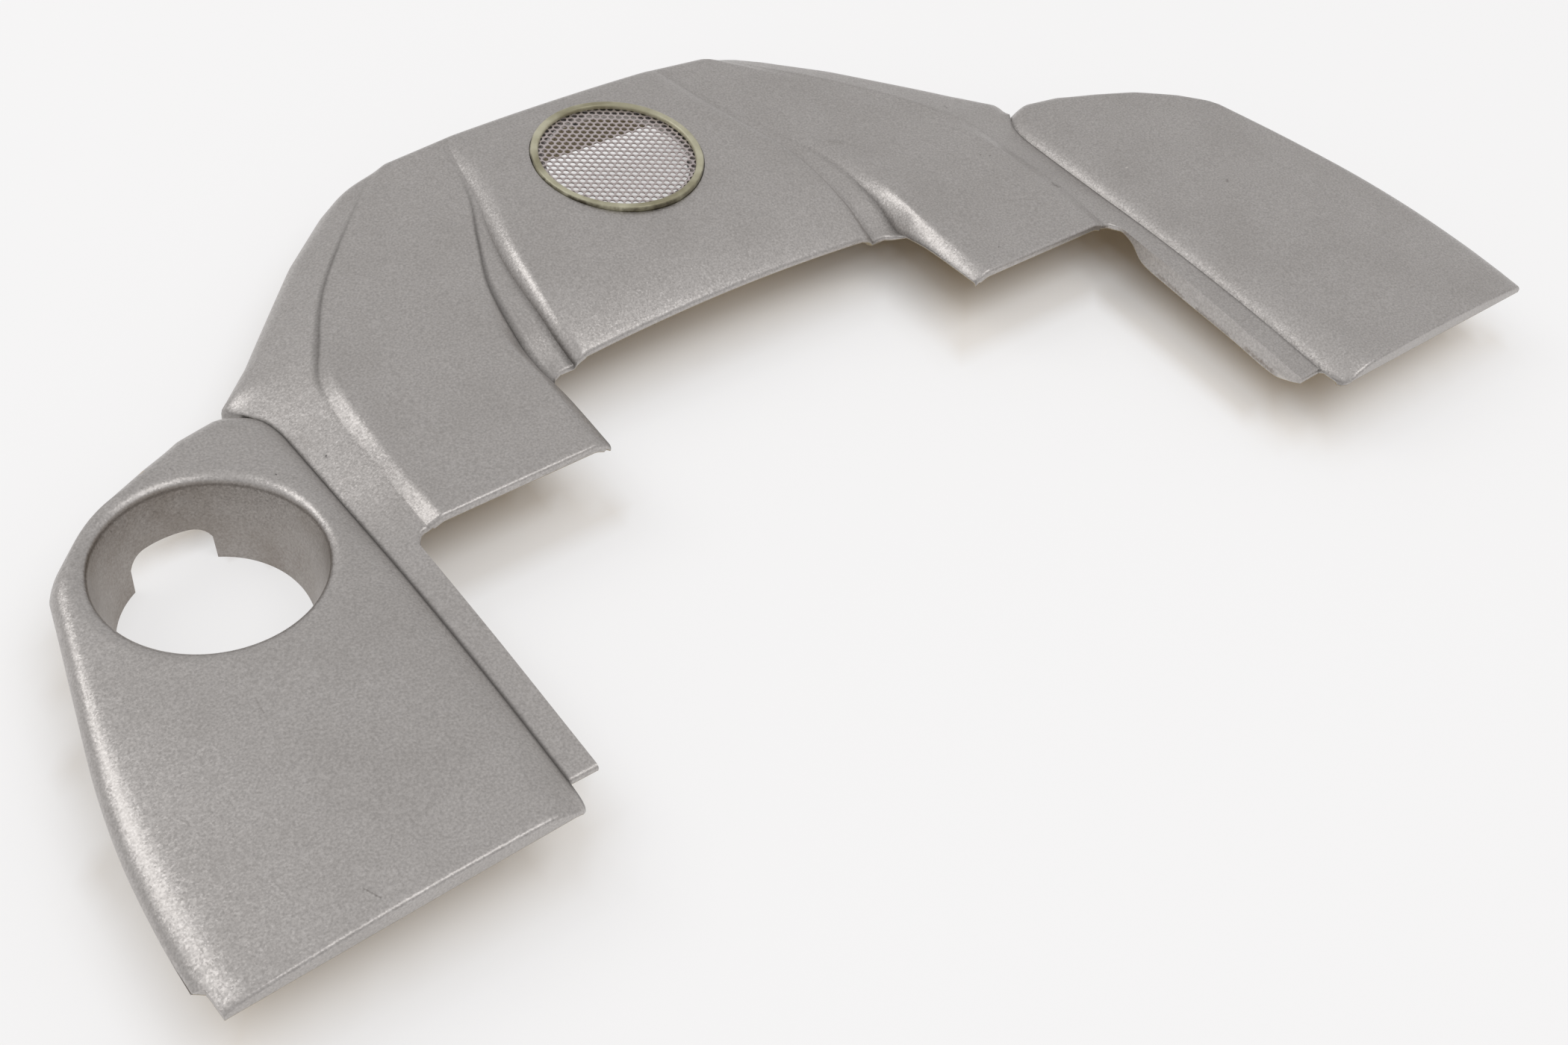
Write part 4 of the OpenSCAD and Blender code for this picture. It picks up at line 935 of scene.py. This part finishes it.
# Darker in patches within a band at the outer rim and its side
outer_foot = add_node(tree, "ShaderNodeMapRange",
                      {0: radius, 1: (RING_OUTER - FOOT_DARKENING_BAND) * MM, 2: RING_OUTER * MM},
                      interpolation_type="SMOOTHSTEP").outputs[0]
blotch = add_node(tree, "ShaderNodeMapRange", {0: patches.outputs[0], 1: 0.35, 2: 0.62}).outputs[0]
foot_darkening = add_node(tree, "ShaderNodeMath", {0: outer_foot, 1: blotch}, operation="MULTIPLY").outputs[0]
tone = add_node(tree, "ShaderNodeMix", {0: foot_darkening, 6: tone, 7: linear("#4b4434")}, data_type="RGBA").outputs[2]
wear = add_node(tree, "ShaderNodeBump",
                {"Strength": 0.2, "Distance": 0.1 * MM, "Height": patches.outputs[0]})
shader = add_node(tree, "ShaderNodeBsdfPrincipled",
                  {"Base Color": tone, "Metallic": 0.25, "Roughness": 0.34, "Normal": wear.outputs[0]})
add_node(tree, "ShaderNodeOutputMaterial", {"Surface": shader.outputs[0]})
ring = new_object("bezel_band", ring_mesh, cream)
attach(ring, "root")
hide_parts("badge_ring")

# Perforated disc: stamped sheet with staggered round holes, a copy of one pierced cell on each place of a
# triangular lattice. The sheet's outline is drawn in to a circle and then given its thickness. Smooth
# rolled metal mirrors the pale surround, and a film of dirt hazes it in specks of about 4 mm.
SHEET, DISC_RADIUS = 0.6, 40.7
HOLE_PITCH, HOLE_DIAMETER, HOLE_SIDES = 3.75, 3.0, 12
steel = blotched("bright stamped sheet", "#d5cccb", "#b3a8a6", 240.0, 3.0, Metallic=0.7, Roughness=0.3)

weave = bpy.data.node_groups.new("perforated disc", "GeometryNodeTree")
for name, kind in [("Pitch", "NodeSocketFloat"), ("Hole", "NodeSocketFloat"),
                   ("Thickness", "NodeSocketFloat"), ("Radius", "NodeSocketFloat"),
                   ("Material", "NodeSocketMaterial")]:
    weave.interface.new_socket(name=name, in_out="INPUT", socket_type=kind)
weave.interface.new_socket(name="Geometry", in_out="OUTPUT", socket_type="NodeSocketGeometry")
sizes = add_node(weave, "NodeGroupInput").outputs

# One flat cell: the hole's rim is drawn out to a hexagon whose flats meet the next cells
half_pitch = add_node(weave, "ShaderNodeMath", {0: sizes["Pitch"], 1: 0.5}, operation="MULTIPLY").outputs[0]
hole_radius = add_node(weave, "ShaderNodeMath", {0: sizes["Hole"], 1: 0.5}, operation="MULTIPLY").outputs[0]
hole_rim = add_node(weave, "GeometryNodeMeshCircle", {"Vertices": HOLE_SIDES, "Radius": hole_radius})
drawn = add_node(weave, "GeometryNodeExtrudeMesh", {"Mesh": hole_rim.outputs[0], "Offset Scale": 0.0},
                 mode="EDGES")
spot = add_node(weave, "GeometryNodeInputPosition").outputs[0]
parts = add_node(weave, "ShaderNodeSeparateXYZ", {0: spot})
angle = add_node(weave, "ShaderNodeMath", {0: parts.outputs["Y"], 1: parts.outputs["X"]},
                 operation="ARCTAN2").outputs[0]
in_sixth = add_node(weave, "ShaderNodeMath", {0: angle, 1: math.radians(60), 2: 0.0},
                    operation="WRAP").outputs[0]
from_flat = add_node(weave, "ShaderNodeMath", {0: in_sixth, 1: math.radians(30)},
                     operation="SUBTRACT").outputs[0]
cosine = add_node(weave, "ShaderNodeMath", {0: from_flat}, operation="COSINE").outputs[0]
to_flat = add_node(weave, "ShaderNodeMath", {0: half_pitch, 1: cosine}, operation="DIVIDE").outputs[0]
ray = add_node(weave, "ShaderNodeVectorMath", {0: spot}, operation="NORMALIZE").outputs[0]
corner = add_node(weave, "ShaderNodeVectorMath", {0: ray, "Scale": to_flat}, operation="SCALE").outputs[0]
cell = add_node(weave, "GeometryNodeSetPosition",
                {"Geometry": drawn.outputs["Mesh"], "Selection": drawn.outputs["Top"], "Position": corner})

# The lattice: columns along the depth, every second one shifted by half a pitch
COLUMNS, PER_COLUMN = 27, 25
column_gap = add_node(weave, "ShaderNodeMath", {0: sizes["Pitch"], 1: math.sin(math.radians(60))},
                      operation="MULTIPLY").outputs[0]
lattice_width = add_node(weave, "ShaderNodeMath", {0: column_gap, 1: COLUMNS - 1.0},
                         operation="MULTIPLY").outputs[0]
lattice_depth = add_node(weave, "ShaderNodeMath", {0: sizes["Pitch"], 1: PER_COLUMN - 1.0},
                         operation="MULTIPLY").outputs[0]
lattice = add_node(weave, "GeometryNodeMeshGrid",
                   {"Size X": lattice_width, "Size Y": lattice_depth,
                    "Vertices X": COLUMNS, "Vertices Y": PER_COLUMN})
spot = add_node(weave, "GeometryNodeInputPosition").outputs[0]
parts = add_node(weave, "ShaderNodeSeparateXYZ", {0: spot})
column = add_node(weave, "ShaderNodeMath", {0: parts.outputs["X"], 1: column_gap},
                  operation="DIVIDE").outputs[0]
column = add_node(weave, "ShaderNodeMath", {0: column}, operation="ROUND").outputs[0]
odd = add_node(weave, "ShaderNodeMath", {0: column, 1: 2.0}, operation="FLOORED_MODULO").outputs[0]
half_step = add_node(weave, "ShaderNodeMath", {0: odd, 1: half_pitch}, operation="MULTIPLY").outputs[0]
shift = add_node(weave, "ShaderNodeCombineXYZ", {"Y": half_step}).outputs[0]
staggered = add_node(weave, "GeometryNodeSetPosition",
                     {"Geometry": lattice.outputs["Mesh"], "Offset": shift})
spot = add_node(weave, "GeometryNodeInputPosition").outputs[0]
distance = add_node(weave, "ShaderNodeVectorMath", {0: spot}, operation="LENGTH").outputs["Value"]
quarter_pitch = add_node(weave, "ShaderNodeMath", {0: sizes["Pitch"], 1: 0.25},
                         operation="MULTIPLY").outputs[0]
reach = add_node(weave, "ShaderNodeMath", {0: sizes["Radius"], 1: quarter_pitch},
                 operation="SUBTRACT").outputs[0]
within = add_node(weave, "FunctionNodeCompare", {0: distance, 1: reach}, operation="LESS_THAN").outputs[0]
pierced = add_node(weave, "GeometryNodeInstanceOnPoints",
                   {"Points": staggered.outputs[0], "Selection": within, "Instance": cell.outputs[0]})
sheet = add_node(weave, "GeometryNodeRealizeInstances", {"Geometry": pierced.outputs[0]})
joined = add_node(weave, "GeometryNodeMergeByDistance",
                  {"Geometry": sheet.outputs[0], "Distance": 0.02 * MM})

# Its rim: faces outside the circle go, and points outside it move in to it
spot = add_node(weave, "GeometryNodeInputPosition").outputs[0]
distance = add_node(weave, "ShaderNodeVectorMath", {0: spot}, operation="LENGTH").outputs["Value"]
beyond = add_node(weave, "FunctionNodeCompare", {0: distance, 1: sizes["Radius"]},
                  operation="GREATER_THAN").outputs[0]
trimmed = add_node(weave, "GeometryNodeDeleteGeometry", {"Geometry": joined.outputs[0], "Selection": beyond},
                   domain="FACE")
ray = add_node(weave, "ShaderNodeVectorMath", {0: spot}, operation="NORMALIZE").outputs[0]
on_circle = add_node(weave, "ShaderNodeVectorMath", {0: ray, "Scale": sizes["Radius"]},
                     operation="SCALE").outputs[0]
round_sheet = add_node(weave, "GeometryNodeSetPosition",
                       {"Geometry": trimmed.outputs[0], "Selection": beyond, "Position": on_circle})
up = add_node(weave, "ShaderNodeCombineXYZ", {"Z": sizes["Thickness"]}).outputs[0]
thick = add_node(weave, "GeometryNodeExtrudeMesh",
                 {"Mesh": round_sheet.outputs[0], "Offset": up, "Offset Scale": 1.0, "Individual": False},
                 mode="FACES")
back = add_node(weave, "GeometryNodeFlipFaces", {"Mesh": round_sheet.outputs[0]})
solid = add_node(weave, "GeometryNodeJoinGeometry")
weave.links.new(thick.outputs["Mesh"], solid.inputs[0])
weave.links.new(back.outputs[0], solid.inputs[0])
closed = add_node(weave, "GeometryNodeMergeByDistance",
                  {"Geometry": solid.outputs[0], "Distance": 0.005 * MM})
finished = add_node(weave, "GeometryNodeSetMaterial",
                    {"Geometry": closed.outputs[0], "Material": sizes["Material"]})
add_node(weave, "NodeGroupOutput", {"Geometry": finished.outputs[0]})

disc = new_object("perforated_disc", bpy.data.meshes.new("disc_start"), steel)
modifier = disc.modifiers.new("perforations", "NODES")
modifier.node_group = weave
chosen = {"Pitch": HOLE_PITCH * MM, "Hole": HOLE_DIAMETER * MM, "Thickness": SHEET * MM,
          "Radius": DISC_RADIUS * MM, "Material": steel}
for item in weave.interface.items_tree:
    if item.in_out == "INPUT":
        modifier[item.identifier] = chosen[item.name]
seen_by = disc.evaluated_get(bpy.context.evaluated_depsgraph_get())
disc_mesh = bpy.data.meshes.new_from_object(seen_by)
disc.modifiers.clear()
disc_mesh.transform(Matrix.Translation(Vector((*seat_centre, seat_z + DISC_THICK - SHEET)) * MM))
disc_mesh.shade_flat()
disc.data = disc_mesh
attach(disc, "root")
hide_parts("mesh_disc")

# Clips: pressed spring steel with zinc plating, pushed up the ring's pegs until they grip under the ledge.
# They keep the solids' own shape. The plating has dulled in grey patches of 2 to 3 mm.
zinc = blotched("dulled zinc plating", "#8d8f90", "#5f6264", 400.0, 3.0, Metallic=1.0, Roughness=0.38)
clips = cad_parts["ring_clips"]
clips.data.materials.clear()
clips.data.materials.append(zinc)

# Rubber mounts: moulded black rubber, pushed into the sockets, where each grips a ball stud of the engine.
# They keep the solids' own shape, and are matt with a fine grain and grey dust in specks of about 3 mm.
rubber = blotched("dusty black rubber", "#18181a", "#3a3937", 300.0, 4.0, bump=0.3, Roughness=0.7)
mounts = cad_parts["rubber_mounts"]
mounts.data.materials.clear()
mounts.data.materials.append(rubber)
